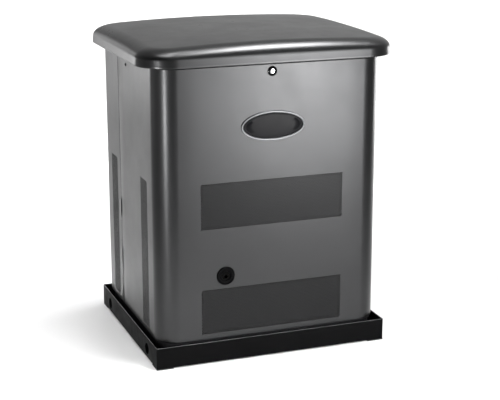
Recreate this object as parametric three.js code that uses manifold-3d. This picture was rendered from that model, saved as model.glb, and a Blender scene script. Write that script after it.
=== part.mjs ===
// Home standby generator: sheet-metal cabinet on a tray, hinged lid, vertical-shaft engine over its alternator.
// Millimetres. X is to the right, Y to the back, Z up. The origin is on the ground under the middle of the base.
import * as THREE from 'three';
import Module from 'manifold-3d';
import { mergeVertices } from 'three/addons/utils/BufferGeometryUtils.js';
import { ParametricGeometry } from 'three/addons/geometries/ParametricGeometry.js';

const wasm = await Module();
wasm.setup();

const GAP = 0.3;              // clearance between two pieces that touch in the real machine
const QUARTER = Math.PI / 2;

// Base tray
const TRAY_HALF_X = 400;
const TRAY_HALF_Y = 342;
const TRAY_TOP = 74;
const TRAY_SHEET = 3;
const FOOT_LENGTH = 56;
const FOOT_HEIGHT = 2.7;
const TRAY_BOTTOM = FOOT_HEIGHT + GAP;
const FLOOR_TOP = TRAY_BOTTOM + TRAY_SHEET;
const LIFT_HOLE_RADIUS = 20;
const LIFT_HOLE_Z = 34;
const LIFT_HOLE_Y = [243, -227.5];

// Cabinet skin
const CABINET_HALF_X = 384;
const CABINET_HALF_Y = 330.5;
const CABINET_FRONT_RADIUS = 72;
const CABINET_REAR_RADIUS = 60;
const CABINET_BOTTOM = 78;
const CABINET_TOP = 966;
const SHEET = 2;
const SEAM_Y = 110;
const SEAM_GAP = 1;

// Perforated cooling-air fields, each drawn as rows of slots
const FRONT_FIELD_HALF_X = 243;
const FRONT_FIELDS_Z = [[98.5, 247], [449, 598]];
const SIDE_FIELD_Z = [96, 594];
const SIDE_FIELD_FRONT_Y = [-210, -135];
const SIDE_FIELD_REAR_Y = [148, 226];
const SLOT_PITCH = 36;
const SLOT_HEIGHT = 14;
const SLOT_END_MARGIN = 4;
const SLOT_WEB = 12;

// Cover plate at the back with the fuel inlet and the cable knock-out
const UTILITY = { x0: -260, x1: -80, z0: 130, z1: 240 };
const UTILITY_OVERLAP = 15;
const FUEL_X = -120;
const FUEL_Z = 185;
const FUEL_HOLE_RADIUS = 14;
const CABLE_X = -210;
const CABLE_HOLE_RADIUS = 11;

// Sheet box behind the upper air field
const BAFFLE_HALF_X = 256;
const BAFFLE_DEPTH = 28;
const BAFFLE_Z = [430, 618];

// Sill frame that carries the skin, and top frame under the lid
const SILL_INSET = 10;
const SILL_SHEET = 2.5;
const SILL_TOP = 92;
const SILL_LEDGE = 3;
const FRAME_INSET = 2.3;
const FRAME_BOTTOM = 926;
const FRAME_TOP = CABINET_TOP - GAP;
const FRAME_FLANGE = 14;

// Lid
const LID_HALF_X = 430;
const LID_HALF_Y = 364;
const LID_RADIUS = 112;
const LID_BOTTOM = 974.4;
const LID_LIP = 24;
const LID_ROUNDING = 57;
const LID_EDGE_HEIGHT = 49;
const LID_CROWN_X = 15;
const LID_CROWN_Y = 8;
const LID_SHEET = 3;
const LID_FRAME_HALF_X = 362;
const LID_FRAME_HALF_Y = 300;
const LID_FRAME_TOP = 1018;
const LID_FRAME_RADIUS = 50;
const LID_LOOP_POINTS = 32;
const STRIKER_X = [-62, -28];
const STRIKER_Z = [922, 1004];
const STRIKER_FOOT_X = -16;
const STRIKER_FOOT_REACH = 11;
const STRIKER_SHEET = 2.5;

// Lid hinge
const HINGE_Y = 346;
const HINGE_Z = 984;
const KNUCKLE_RADIUS = 5;
const HINGE_BORE = 2.8;
const HINGE_PIN = 2.5;
const HINGE_HALF_LENGTH = 250;
const KNUCKLE_COUNT = 5;
const KNUCKLE_GAP = 0.6;
const LEAF_SHEET = 2.5;
const LEAF_FIXED_Z = [936, 972];
const LEAF_LID_Z = [979, 993];

// Lid lock
const LOCK_X = -3.5;
const LOCK_Z = 945;
const LOCK_RING_RADIUS = 16;
const LOCK_CORE_RADIUS = 10;
const CAM_LENGTH = 24;

// Badge
const BADGE_Z = 771;
const BADGE_HALF_X = 108;
const BADGE_HALF_Z = 48;

// Exhaust outlet
const PORT_X = -161;
const PORT_Z = 289.5;
const PORT_RADIUS = 31;
const PIPE_RADIUS = 14.5;
const PIPE_BORE = 12;

// Muffler can, as radius and height steps up from its floor
const MUFFLER_X = -255;
const MUFFLER_Y = -110;
const MUFFLER_RADIUS = 72;
const MUFFLER_Z = [196, 446];
const HEADER_Z = 330;
const HEADER_RADIUS = 14;

// Engine and alternator on one vertical shaft
const SHAFT_X = 50;
const SHAFT_Y = 25;
const SHAFT_RADIUS = 15;
const SHAFT_CLEARANCE = 0.4;
const SHAFT_SEGMENTS = 24;
const CYLINDER_Z = 430;
const CYLINDER_ANGLE = Math.PI / 4;
const SHAFT_Z = [62, 600];
const CRADLE_HALF = 180;
const CRADLE_BOTTOM = 60;
const CRADLE_SHEET = 6;
const ISOLATOR_INSET = 30;
const ISOLATOR_RADIUS = 22;
const STATOR_RADIUS = 125;
const STATOR_BORE = 66;
const STATOR_Z = [90.3, 290];
const ROTOR_RADIUS = 62;
const ROTOR_Z = [104, 276];
const COVER_BOTTOM = 66.3;
const VENT_COUNT = 6;
const VENT_RADIUS = 18;
const VENT_CIRCLE = 85;
const FIN_COUNT = 4;
const FIN_PITCH = 19;
const FIN_RADIUS = 50;
const BARREL_RADIUS = 40;
const BLADE_COUNT = 10;
const BLADE_RADIUS = 88;
const BLADE_TURN = 0.5;
const STARTER_OFFSET = 120;
const OIL_FILTER_START = [172.3, 55, 400];
const DIPSTICK_X = SHAFT_X - 130;
const DIPSTICK_Y = SHAFT_Y + 110;
const DIPSTICK_TUBE_Z = [350, 620];

// Gas path: inlet at the back, regulator, hose, mixer, intake runner
const RUNNER_Y = -150;
const MIXER_Y = -165;
const MIXER_INLET_Z = 505;
const REGULATOR_X = -250;
const REGULATOR_Y = 210;
const REGULATOR_Z = 540;

// Battery in the right front corner, control box in the left front corner
const BATTERY = { x0: 240, x1: 366, y0: -195, y1: 1, top: 168 };
const BATTERY_POST_X = 303;
const STRAP_Y = [-112, -82];
const STRAP_SHEET = 2.5;
const CONTROL = { x0: -345, x1: -105, y0: -286, y1: -132, z0: 790, z1: 925 };
const CONTROL_SHEET = 2;
const CONTROL_FACE = 3;
const CONTROL_ROW_Y = -210;
const MODE_SWITCH_X = -280;
const BREAKER_X = -190;
const FUSE_X = -135;

const group = new THREE.Group();
group.name = 'home_standby_generator';

// ---------------------------------------------------------------- helpers

function toManifold(geometry) {
  const bare = new THREE.BufferGeometry();
  bare.setAttribute('position', geometry.getAttribute('position'));
  if (geometry.index) {
    bare.setIndex(geometry.index);
  }
  const merged = mergeVertices(bare, 1e-4);
  const index = merged.index.array;
  const kept = [];
  for (let i = 0; i < index.length; i += 3) {
    const [a, b, c] = [index[i], index[i + 1], index[i + 2]];
    if (a !== b && b !== c && c !== a) {
      kept.push(a, b, c);
    }
  }
  return new wasm.Manifold(new wasm.Mesh({
    numProp: 3,
    vertProperties: new Float32Array(merged.getAttribute('position').array),
    triVerts: new Uint32Array(kept),
  }));
}

function join(...solids) {
  return solids.reduce((sum, next) => sum.add(next));
}

function cut(solid, ...tools) {
  return tools.reduce((rest, tool) => rest.subtract(tool), solid);
}

function addNode(name, solid, color, roughness, metalness) {
  const mesh = solid.getMesh();
  const geometry = new THREE.BufferGeometry();
  geometry.setAttribute('position', new THREE.BufferAttribute(new Float32Array(mesh.vertProperties), 3));
  geometry.setIndex(new THREE.BufferAttribute(new Uint32Array(mesh.triVerts), 1));
  const flat = geometry.toNonIndexed();
  flat.computeVertexNormals();
  const material = new THREE.MeshStandardMaterial({ color, roughness, metalness });
  const node = new THREE.Mesh(flat, material);
  node.name = name;
  group.add(node);
}

function box(x0, x1, y0, y1, z0, z1) {
  const geometry = new THREE.BoxGeometry(x1 - x0, y1 - y0, z1 - z0);
  geometry.translate((x0 + x1) / 2, (y0 + y1) / 2, (z0 + z1) / 2);
  return toManifold(geometry);
}

// A round bar between two points.
function bar(from, to, radius, segments = 16) {
  const start = new THREE.Vector3(...from);
  const end = new THREE.Vector3(...to);
  const along = end.clone().sub(start);
  const geometry = new THREE.CylinderGeometry(radius, radius, along.length(), segments);
  const turn = new THREE.Quaternion().setFromUnitVectors(new THREE.Vector3(0, 1, 0), along.clone().normalize());
  geometry.applyQuaternion(turn);
  const middle = start.add(end).multiplyScalar(0.5);
  geometry.translate(middle.x, middle.y, middle.z);
  return toManifold(geometry);
}

function upright(x, y, z0, z1, radius, segments = 16) {
  return bar([x, y, z0], [x, y, z1], radius, segments);
}

// A closed profile of [radius, height] points turned about the vertical axis at (x, y).
function turned(x, y, profile, segments = 24) {
  const closed = [...profile, profile[0]].map(([r, z]) => new THREE.Vector2(r, z));
  const geometry = new THREE.LatheGeometry(closed, segments);
  geometry.rotateX(QUARTER);
  geometry.translate(x, y, 0);
  return toManifold(geometry);
}

// A profile that starts and ends on the axis, turned about the line from (x, y, z) along a direction.
function turnedAlong(origin, direction, profile, segments = 14) {
  const points = profile.map(([r, t]) => new THREE.Vector2(r, t));
  const geometry = new THREE.LatheGeometry(points, segments);
  const axis = new THREE.Vector3(...direction).normalize();
  geometry.applyQuaternion(new THREE.Quaternion().setFromUnitVectors(new THREE.Vector3(0, 1, 0), axis));
  geometry.translate(...origin);
  return toManifold(geometry);
}

// Outline of a rectangle whose front and rear corners have their own radii.
function roundedOutline(halfX, halfY, frontRadius, rearRadius, target) {
  target.moveTo(-halfX + frontRadius, -halfY);
  target.lineTo(halfX - frontRadius, -halfY);
  target.absarc(halfX - frontRadius, -halfY + frontRadius, frontRadius, -QUARTER, 0, false);
  target.lineTo(halfX, halfY - rearRadius);
  target.absarc(halfX - rearRadius, halfY - rearRadius, rearRadius, 0, QUARTER, false);
  target.lineTo(-halfX + rearRadius, halfY);
  target.absarc(-halfX + rearRadius, halfY - rearRadius, rearRadius, QUARTER, 2 * QUARTER, false);
  target.lineTo(-halfX, -halfY + frontRadius);
  target.absarc(-halfX + frontRadius, -halfY + frontRadius, frontRadius, 2 * QUARTER, 3 * QUARTER, false);
  return target;
}

function extrudeUp(shape, z0, z1, curveSegments = 3) {
  const geometry = new THREE.ExtrudeGeometry(shape, { depth: z1 - z0, bevelEnabled: false, curveSegments });
  geometry.translate(0, 0, z0);
  return toManifold(geometry);
}

// An upright plate in the XZ plane, from y0 back to y1.
function extrudeBack(shape, y0, y1, curveSegments = 6) {
  const geometry = new THREE.ExtrudeGeometry(shape, { depth: y1 - y0, bevelEnabled: false, curveSegments });
  geometry.rotateX(QUARTER);
  geometry.translate(0, y1, 0);
  return toManifold(geometry);
}

// The cabinet plan outline moved inwards.
function cabinetPlan(inset, target = new THREE.Shape()) {
  return roundedOutline(CABINET_HALF_X - inset, CABINET_HALF_Y - inset,
    CABINET_FRONT_RADIUS - inset, CABINET_REAR_RADIUS - inset, target);
}

function cabinetRing(outerInset, innerInset, z0, z1) {
  return cut(extrudeUp(cabinetPlan(outerInset), z0, z1), extrudeUp(cabinetPlan(innerInset), z0 - 1, z1 + 1));
}

// A round tube or rod that follows a smooth line through points.
function sweep(points, radius, bore, steps, arcs = 4) {
  const path = new THREE.CatmullRomCurve3(points.map((p) => new THREE.Vector3(...p)), false, 'centripetal');
  const section = new THREE.Shape();
  section.absarc(0, 0, radius, 0, 4 * QUARTER, false);
  if (bore > 0) {
    section.holes.push(new THREE.Path().absarc(0, 0, bore, 0, 4 * QUARTER, true));
  }
  const options = { steps, curveSegments: arcs, bevelEnabled: false, extrudePath: path };
  return toManifold(new THREE.ExtrudeGeometry(section, options));
}

// ---------------------------------------------------------------- base

function liftHoles(radius) {
  return join(...LIFT_HOLE_Y.map((y) => (
    bar([-TRAY_HALF_X - 10, y, LIFT_HOLE_Z], [TRAY_HALF_X + 10, y, LIFT_HOLE_Z], radius, 18))));
}

function buildBase() {
  const inner = TRAY_SHEET;
  const outside = box(-TRAY_HALF_X, TRAY_HALF_X, -TRAY_HALF_Y, TRAY_HALF_Y, TRAY_BOTTOM, TRAY_TOP);
  const hollow = box(-TRAY_HALF_X + inner, TRAY_HALF_X - inner, -TRAY_HALF_Y + inner, TRAY_HALF_Y - inner,
    FLOOR_TOP, TRAY_TOP + 1);
  addNode('base_tray', cut(outside, hollow, liftHoles(LIFT_HOLE_RADIUS)), 0x17181a, 0.45, 0.3);

  for (const [side, sx] of [['left', -1], ['right', 1]]) {
    for (const [end, sy] of [['front', -1], ['rear', 1]]) {
      const xs = [sx * TRAY_HALF_X, sx * (TRAY_HALF_X - FOOT_LENGTH)].sort((a, b) => a - b);
      const ys = [sy * TRAY_HALF_Y, sy * (TRAY_HALF_Y - FOOT_LENGTH)].sort((a, b) => a - b);
      addNode(`foot_${end}_${side}`, box(...xs, ...ys, 0, FOOT_HEIGHT), 0x101010, 0.8, 0);
    }
  }

  const web = cabinetRing(SILL_INSET, SILL_INSET + SILL_SHEET, FLOOR_TOP + GAP, SILL_TOP);
  const ledgeTop = CABINET_BOTTOM - GAP;
  const ledge = cabinetRing(2, SILL_INSET + 1, ledgeTop - SILL_LEDGE, ledgeTop);
  addNode('sill_frame', cut(join(web, ledge), liftHoles(LIFT_HOLE_RADIUS + 2)), 0x141416, 0.55, 0.3);
}

// ---------------------------------------------------------------- cabinet skin

// Rows of long slots that fill a field; each stands for several rows of small punched holes.
function slotRows(low, high, zRange, columns, makeSlot) {
  const rows = Math.floor((zRange[1] - zRange[0]) / SLOT_PITCH);
  const firstZ = (zRange[0] + zRange[1] - (rows - 1) * SLOT_PITCH) / 2;
  const width = (high - low - 2 * SLOT_END_MARGIN - (columns - 1) * SLOT_WEB) / columns;
  const slots = [];
  for (let row = 0; row < rows; row += 1) {
    const z = firstZ + row * SLOT_PITCH;
    for (let column = 0; column < columns; column += 1) {
      const start = low + SLOT_END_MARGIN + column * (width + SLOT_WEB);
      slots.push(makeSlot(start, start + width, z - SLOT_HEIGHT / 2, z + SLOT_HEIGHT / 2));
    }
  }
  return slots;
}

function frontSlots(zRange) {
  const front = -CABINET_HALF_Y;
  return slotRows(-FRONT_FIELD_HALF_X, FRONT_FIELD_HALF_X, zRange, 2,
    (a, b, z0, z1) => box(a, b, front - 5, front + 5, z0, z1));
}

function sideSlots(yRange) {
  const x = CABINET_HALF_X;
  return [-1, 1].flatMap((side) => slotRows(yRange[0], yRange[1], SIDE_FIELD_Z, 1,
    (a, b, z0, z1) => box(side * x - 5, side * x + 5, a, b, z0, z1)));
}

function buildSkin() {
  const shell = cabinetRing(0, SHEET, CABINET_BOTTOM, CABINET_TOP);
  const far = CABINET_HALF_X + 50;
  const behindSeam = box(-far, far, SEAM_Y - SEAM_GAP / 2, far, 0, CABINET_TOP + 50);
  const beforeSeam = box(-far, far, -far, SEAM_Y + SEAM_GAP / 2, 0, CABINET_TOP + 50);
  const front = -CABINET_HALF_Y;
  const lockHole = bar([LOCK_X, front - 10, LOCK_Z], [LOCK_X, front + 10, LOCK_Z], LOCK_CORE_RADIUS + 1);
  const portHole = bar([PORT_X, front - 10, PORT_Z], [PORT_X, front + 10, PORT_Z], PORT_RADIUS - 7);
  const frontPanel = cut(shell, behindSeam, lockHole, portHole,
    ...FRONT_FIELDS_Z.flatMap(frontSlots), ...sideSlots(SIDE_FIELD_FRONT_Y));
  addNode('front_panel', frontPanel, 0x3a3c3f, 0.35, 0.6);

  const entry = box(UTILITY.x0 + UTILITY_OVERLAP, UTILITY.x1 - UTILITY_OVERLAP, CABINET_HALF_Y - 5,
    CABINET_HALF_Y + 5, UTILITY.z0 + UTILITY_OVERLAP, UTILITY.z1 - UTILITY_OVERLAP);
  const rearPanel = cut(shell, beforeSeam, entry, ...sideSlots(SIDE_FIELD_REAR_Y));
  addNode('rear_panel', rearPanel, 0x3a3c3f, 0.35, 0.6);

  const web = cabinetRing(FRAME_INSET, FRAME_INSET + SHEET, FRAME_BOTTOM, FRAME_TOP);
  const flange = cabinetRing(FRAME_INSET, FRAME_INSET + FRAME_FLANGE, FRAME_TOP - SHEET, FRAME_TOP);
  const frameHole = bar([LOCK_X, front, LOCK_Z], [LOCK_X, front + 10, LOCK_Z], LOCK_CORE_RADIUS + 1);
  addNode('top_frame', cut(join(web, flange), frameHole), 0x1b1c1e, 0.5, 0.4);

  // Sheet box behind the upper air field that turns the incoming air down and hides the engine.
  const baffleFront = -CABINET_HALF_Y + SHEET + GAP;
  const baffleBack = baffleFront + BAFFLE_DEPTH;
  const half = BAFFLE_HALF_X;
  const [low, high] = BAFFLE_Z;
  const baffle = join(
    box(-half, half, baffleBack - SHEET, baffleBack, low, high),
    box(-half, half, baffleFront, baffleBack, high - SHEET, high),
    box(-half, SHEET - half, baffleFront, baffleBack, low, high),
    box(half - SHEET, half, baffleFront, baffleBack, low, high),
  );
  addNode('intake_baffle', baffle, 0x0e0e0f, 0.8, 0.1);
}

function buildUtilityPlate() {
  const rear = CABINET_HALF_Y + GAP;
  const plate = box(UTILITY.x0, UTILITY.x1, rear, rear + SHEET, UTILITY.z0, UTILITY.z1);
  const cableHole = bar([CABLE_X, rear - 5, FUEL_Z], [CABLE_X, rear + 5, FUEL_Z], CABLE_HOLE_RADIUS);
  const fuelHole = bar([FUEL_X, rear - 5, FUEL_Z], [FUEL_X, rear + 5, FUEL_Z], FUEL_HOLE_RADIUS);
  addNode('utility_plate', cut(plate, cableHole, fuelHole), 0x2a2b2d, 0.5, 0.4);
}

// ---------------------------------------------------------------- lid

// Plan outline of the lid at a distance in from the edge, as a direction-matched loop.
function lidLoop(u, inset, target) {
  const cornerX = LID_HALF_X - LID_RADIUS;
  const cornerY = LID_HALF_Y - LID_RADIUS;
  const radius = LID_RADIUS - inset;
  const cornerShare = 4;
  const longShare = 5;
  const shortShare = 3;
  const legs = [
    ['line', -cornerX, -cornerY - radius, cornerX, -cornerY - radius, longShare],
    ['arc', cornerX, -cornerY, -QUARTER, 0, cornerShare],
    ['line', cornerX + radius, -cornerY, cornerX + radius, cornerY, shortShare],
    ['arc', cornerX, cornerY, 0, 0, cornerShare],
    ['line', cornerX, cornerY + radius, -cornerX, cornerY + radius, longShare],
    ['arc', -cornerX, cornerY, QUARTER, 0, cornerShare],
    ['line', -cornerX - radius, cornerY, -cornerX - radius, -cornerY, shortShare],
    ['arc', -cornerX, -cornerY, 2 * QUARTER, 0, cornerShare],
  ];
  let left = (u % 1) * LID_LOOP_POINTS;
  for (const leg of legs) {
    const share = leg[5];
    if (left <= share) {
      const t = left / share;
      if (leg[0] === 'line') {
        return target.set(leg[1] + (leg[3] - leg[1]) * t, leg[2] + (leg[4] - leg[2]) * t);
      }
      const angle = leg[3] + QUARTER * t;
      return target.set(leg[1] + radius * Math.cos(angle), leg[2] + radius * Math.sin(angle));
    }
    left -= share;
  }
  return target.set(-cornerX, -cornerY - radius);
}

function lidHeight(x, y, inset) {
  const crown = LID_CROWN_X * (1 - (x / LID_HALF_X) ** 2) + LID_CROWN_Y * (1 - (y / LID_HALF_Y) ** 2);
  const full = LID_EDGE_HEIGHT + crown;
  const reach = Math.min(inset / LID_ROUNDING, 1);
  return LID_LIP + (full - LID_LIP) * Math.sqrt(Math.max(0, 1 - (1 - reach) ** 2));
}

// The lid's outer or inner surface closed off flat underneath. Stations run from the underside's centre,
// out to the rim, up the lip, over the rounding and in to the crown.
function lidBody(wall, bottom) {
  const stations = [
    { shrink: 0, z: bottom },
    { inset: 0, z: bottom },
    { inset: 0, z: LID_BOTTOM + LID_LIP - wall },
    { inset: 2.5 },
    { inset: 10 },
    { inset: 25 },
    { inset: LID_ROUNDING },
    { shrink: 0.75 },
    { shrink: 0.4 },
    { shrink: 0 },
  ];
  const plan = new THREE.Vector2();
  const surface = (u, v, target) => {
    const station = stations[Math.round(v * (stations.length - 1))];
    const inset = station.inset === undefined ? LID_ROUNDING : station.inset;
    lidLoop(u, inset + wall, plan);
    if (station.shrink !== undefined) {
      plan.multiplyScalar(station.shrink);
    }
    const z = station.z === undefined ? LID_BOTTOM + lidHeight(plan.x, plan.y, inset) - wall : station.z;
    target.set(plan.x, plan.y, z);
  };
  return toManifold(new ParametricGeometry(surface, LID_LOOP_POINTS, stations.length - 1));
}

function ring(halfX, halfY, radius, width, z0, z1) {
  const outer = roundedOutline(halfX, halfY, radius, radius, new THREE.Shape());
  outer.holes.push(roundedOutline(halfX - width, halfY - width, radius - width, radius - width,
    new THREE.Path()));
  return extrudeUp(outer, z0, z1);
}

function buildLid() {
  addNode('lid', cut(lidBody(0, LID_BOTTOM), lidBody(LID_SHEET, LID_BOTTOM - 1)), 0x45474a, 0.38, 0.5);

  const flangeBottom = LID_BOTTOM - 2;
  const flangeRadius = LID_FRAME_RADIUS + 12;
  const holeRadius = LID_FRAME_RADIUS - 1;
  const web = ring(LID_FRAME_HALF_X, LID_FRAME_HALF_Y, LID_FRAME_RADIUS, SHEET, flangeBottom, LID_FRAME_TOP);
  const flange = ring(LID_FRAME_HALF_X + 15, LID_FRAME_HALF_Y + 25, flangeRadius, 32,
    flangeBottom, flangeBottom + SHEET);
  const flangeHole = roundedOutline(LID_FRAME_HALF_X - 1, LID_FRAME_HALF_Y - 1, holeRadius, holeRadius,
    new THREE.Shape());
  const clearMiddle = extrudeUp(flangeHole, flangeBottom - 1, flangeBottom + SHEET + 1);
  addNode('lid_frame', join(web, cut(flange, clearMiddle)), 0x1b1c1e, 0.5, 0.4);

  const sealBottom = FRAME_TOP + GAP;
  const seal = ring(LID_FRAME_HALF_X + 15, LID_FRAME_HALF_Y + 24, flangeRadius, 9,
    sealBottom, flangeBottom - GAP);
  addNode('lid_gasket', seal, 0x0c0c0c, 0.9, 0);

  // J-shaped hook plate that hangs inside the front edge; the lock cam swings in over its foot.
  const strapFront = -LID_FRAME_HALF_Y + SHEET + GAP;
  const strapBack = strapFront + STRIKER_SHEET;
  const strap = box(...STRIKER_X, strapFront, strapBack, ...STRIKER_Z);
  const foot = box(STRIKER_X[0], STRIKER_FOOT_X, strapFront - STRIKER_FOOT_REACH, strapBack,
    STRIKER_Z[0], STRIKER_Z[0] + 3);
  addNode('lid_striker', join(strap, foot), 0x9a9ca0, 0.35, 0.9);
}

function buildHinge() {
  const pitch = (2 * HINGE_HALF_LENGTH) / KNUCKLE_COUNT;
  const bore = bar([-HINGE_HALF_LENGTH - 5, HINGE_Y, HINGE_Z], [HINGE_HALF_LENGTH + 5, HINGE_Y, HINGE_Z],
    HINGE_BORE, 12);
  const leafFront = CABINET_HALF_Y + GAP;
  const lipInside = LID_HALF_Y - LID_SHEET - GAP;
  const leafBack = leafFront + LEAF_SHEET;
  const fixed = [box(-HINGE_HALF_LENGTH, HINGE_HALF_LENGTH, leafFront, leafBack, ...LEAF_FIXED_Z)];
  const moving = [box(-HINGE_HALF_LENGTH, HINGE_HALF_LENGTH, lipInside - LEAF_SHEET, lipInside, ...LEAF_LID_Z)];
  for (let i = 0; i < KNUCKLE_COUNT; i += 1) {
    const x0 = -HINGE_HALF_LENGTH + i * pitch + KNUCKLE_GAP / 2;
    const x1 = x0 + pitch - KNUCKLE_GAP;
    const knuckle = bar([x0, HINGE_Y, HINGE_Z], [x1, HINGE_Y, HINGE_Z], KNUCKLE_RADIUS, 12);
    if (i % 2 === 0) {
      fixed.push(knuckle, box(x0, x1, leafFront, leafBack, LEAF_FIXED_Z[1] - 2, HINGE_Z - 3));
      fixed.push(box(x0, x1, leafFront, HINGE_Y, HINGE_Z - 5, HINGE_Z - 3));
    } else {
      moving.push(knuckle, box(x0, x1, HINGE_Y, lipInside, HINGE_Z + 3, HINGE_Z + 5));
    }
  }
  addNode('hinge_leaf_fixed', cut(join(...fixed), bore), 0x2a2b2d, 0.4, 0.7);
  addNode('hinge_leaf_lid', cut(join(...moving), bore), 0x2a2b2d, 0.4, 0.7);
  addNode('hinge_pin', bar([-HINGE_HALF_LENGTH, HINGE_Y, HINGE_Z], [HINGE_HALF_LENGTH, HINGE_Y, HINGE_Z],
    HINGE_PIN, 12), 0xb0b2b5, 0.3, 0.9);
}

// ---------------------------------------------------------------- trim on the front

function buildLock() {
  const front = -CABINET_HALF_Y;
  const ringBody = bar([LOCK_X, front - 4, LOCK_Z], [LOCK_X, front - GAP, LOCK_Z], LOCK_RING_RADIUS, 24);
  const ringBore = bar([LOCK_X, front - 10, LOCK_Z], [LOCK_X, front + 5, LOCK_Z], LOCK_CORE_RADIUS + 0.5, 24);
  addNode('lock_bezel', cut(ringBody, ringBore), 0x0d0d0e, 0.5, 0.2);

  const camFront = -LID_FRAME_HALF_Y - 5;
  const core = bar([LOCK_X, front - 3, LOCK_Z], [LOCK_X, camFront - GAP, LOCK_Z], LOCK_CORE_RADIUS, 24);
  const keyway = box(LOCK_X - 0.9, LOCK_X + 0.9, front - 4, front + 6, LOCK_Z - 4, LOCK_Z + 4);
  const driver = bar([LOCK_X, camFront - 1, LOCK_Z], [LOCK_X, camFront + 3, LOCK_Z], 3.5, 16);
  addNode('lock_cylinder', cut(join(core, driver), keyway), 0xd8dadd, 0.15, 1);

  // The cam points straight up when the lid is free to open, and turns left over the striker's foot to lock.
  const plate = new THREE.Shape();
  plate.absarc(LOCK_X, LOCK_Z, 8, 2 * QUARTER, 4 * QUARTER, false);
  plate.lineTo(LOCK_X + 8, LOCK_Z + CAM_LENGTH);
  plate.lineTo(LOCK_X - 8, LOCK_Z + CAM_LENGTH);
  const camBody = extrudeBack(plate, camFront, camFront + 2.5, 5);
  const camHole = bar([LOCK_X, camFront - 2, LOCK_Z], [LOCK_X, camFront + 5, LOCK_Z], 3.8, 16);
  addNode('lock_cam', cut(camBody, camHole), 0xa6a8ab, 0.35, 0.9);
}

function badgeOutline(halfX, halfZ, centreZ) {
  const shape = new THREE.Shape();
  shape.absellipse(0, centreZ, halfX, halfZ, 0, 4 * QUARTER, false, 0);
  return shape;
}

function buildBadge() {
  const face = -CABINET_HALF_Y - GAP;
  const rim = cut(
    extrudeBack(badgeOutline(BADGE_HALF_X, BADGE_HALF_Z, BADGE_Z), face - 4, face, 12),
    extrudeBack(badgeOutline(BADGE_HALF_X - 7, BADGE_HALF_Z - 7, BADGE_Z), face - 5, face + 1, 12),
  );
  addNode('badge_rim', rim, 0xd0d2d4, 0.2, 1);
  const field = extrudeBack(badgeOutline(BADGE_HALF_X - 7.6, BADGE_HALF_Z - 7.6, BADGE_Z), face - 2.5, face, 12);
  addNode('badge_plate', field, 0x101113, 0.3, 0.2);
}

function buildExhaust() {
  const front = -CABINET_HALF_Y;
  const flange = bar([PORT_X, front - 5, PORT_Z], [PORT_X, front - GAP, PORT_Z], PORT_RADIUS, 24);
  const sleeve = bar([PORT_X, front - 1, PORT_Z], [PORT_X, front + 6, PORT_Z], PORT_RADIUS - 8, 24);
  const bore = bar([PORT_X, front - 20, PORT_Z], [PORT_X, front + 20, PORT_Z], PIPE_RADIUS + 1, 20);
  addNode('exhaust_bezel', cut(join(flange, sleeve), bore), 0x0f0f10, 0.6, 0.1);

  const [bottom, top] = MUFFLER_Z;
  const can = turned(MUFFLER_X, MUFFLER_Y, [
    [0, bottom], [MUFFLER_RADIUS - 20, bottom], [MUFFLER_RADIUS - 4, bottom + 10], [MUFFLER_RADIUS, bottom + 26],
    [MUFFLER_RADIUS, top - 26], [MUFFLER_RADIUS - 4, top - 10], [MUFFLER_RADIUS - 20, top], [0, top],
  ], 20);
  addNode('muffler', can, 0x6c6964, 0.6, 0.8);

  const canFront = MUFFLER_Y - MUFFLER_RADIUS - GAP;
  const tail = sweep([
    [MUFFLER_X, canFront - 0.5, PORT_Z],
    [MUFFLER_X, canFront - 18, PORT_Z],
    [(MUFFLER_X + PORT_X) / 2, -243, PORT_Z],
    [PORT_X, -292, PORT_Z],
    [PORT_X, front - 1, PORT_Z],
  ], PIPE_RADIUS, PIPE_BORE, 9, 5);
  addNode('tailpipe', tail, 0x77736c, 0.5, 0.9);

  // The right head's pipe crosses in front of the crankcase; the left head drops straight into it.
  const canSide = MUFFLER_X + MUFFLER_RADIUS;
  const headBottom = CYLINDER_Z - FIN_RADIUS - 0.6;
  const header = join(
    sweep([
      [188, -113, headBottom],
      [188, -117, HEADER_Z + 22],
      [172, -127, HEADER_Z + 4],
      [120, -128, HEADER_Z],
      [0, -128, HEADER_Z],
      [-100, -124, HEADER_Z],
      [canSide + 2, -116, HEADER_Z],
    ], HEADER_RADIUS, 0, 12, 5),
    bar([-88, -113, headBottom], [-88, -122, HEADER_Z], HEADER_RADIUS, 10),
  );
  addNode('exhaust_manifold', header, 0x6f6a63, 0.6, 0.8);
}

// ---------------------------------------------------------------- engine and alternator

function shaftBore(z0, z1) {
  return upright(SHAFT_X, SHAFT_Y, z0, z1, SHAFT_RADIUS + SHAFT_CLEARANCE, SHAFT_SEGMENTS);
}

// A point beside the shaft: distance along the cylinder direction, then sideways from it.
function beside(side, along, across = 0) {
  const dx = side * Math.sin(CYLINDER_ANGLE);
  const dy = -Math.cos(CYLINDER_ANGLE);
  return [SHAFT_X + dx * along - dy * across, SHAFT_Y + dy * along + dx * across];
}

function orientedBox(side, along0, along1, halfAcross, z0, z1) {
  const geometry = new THREE.BoxGeometry(along1 - along0, 2 * halfAcross, z1 - z0);
  const [cx, cy] = beside(side, (along0 + along1) / 2);
  geometry.rotateZ(Math.atan2(-Math.cos(CYLINDER_ANGLE), side * Math.sin(CYLINDER_ANGLE)));
  geometry.translate(cx, cy, (z0 + z1) / 2);
  return toManifold(geometry);
}

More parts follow.
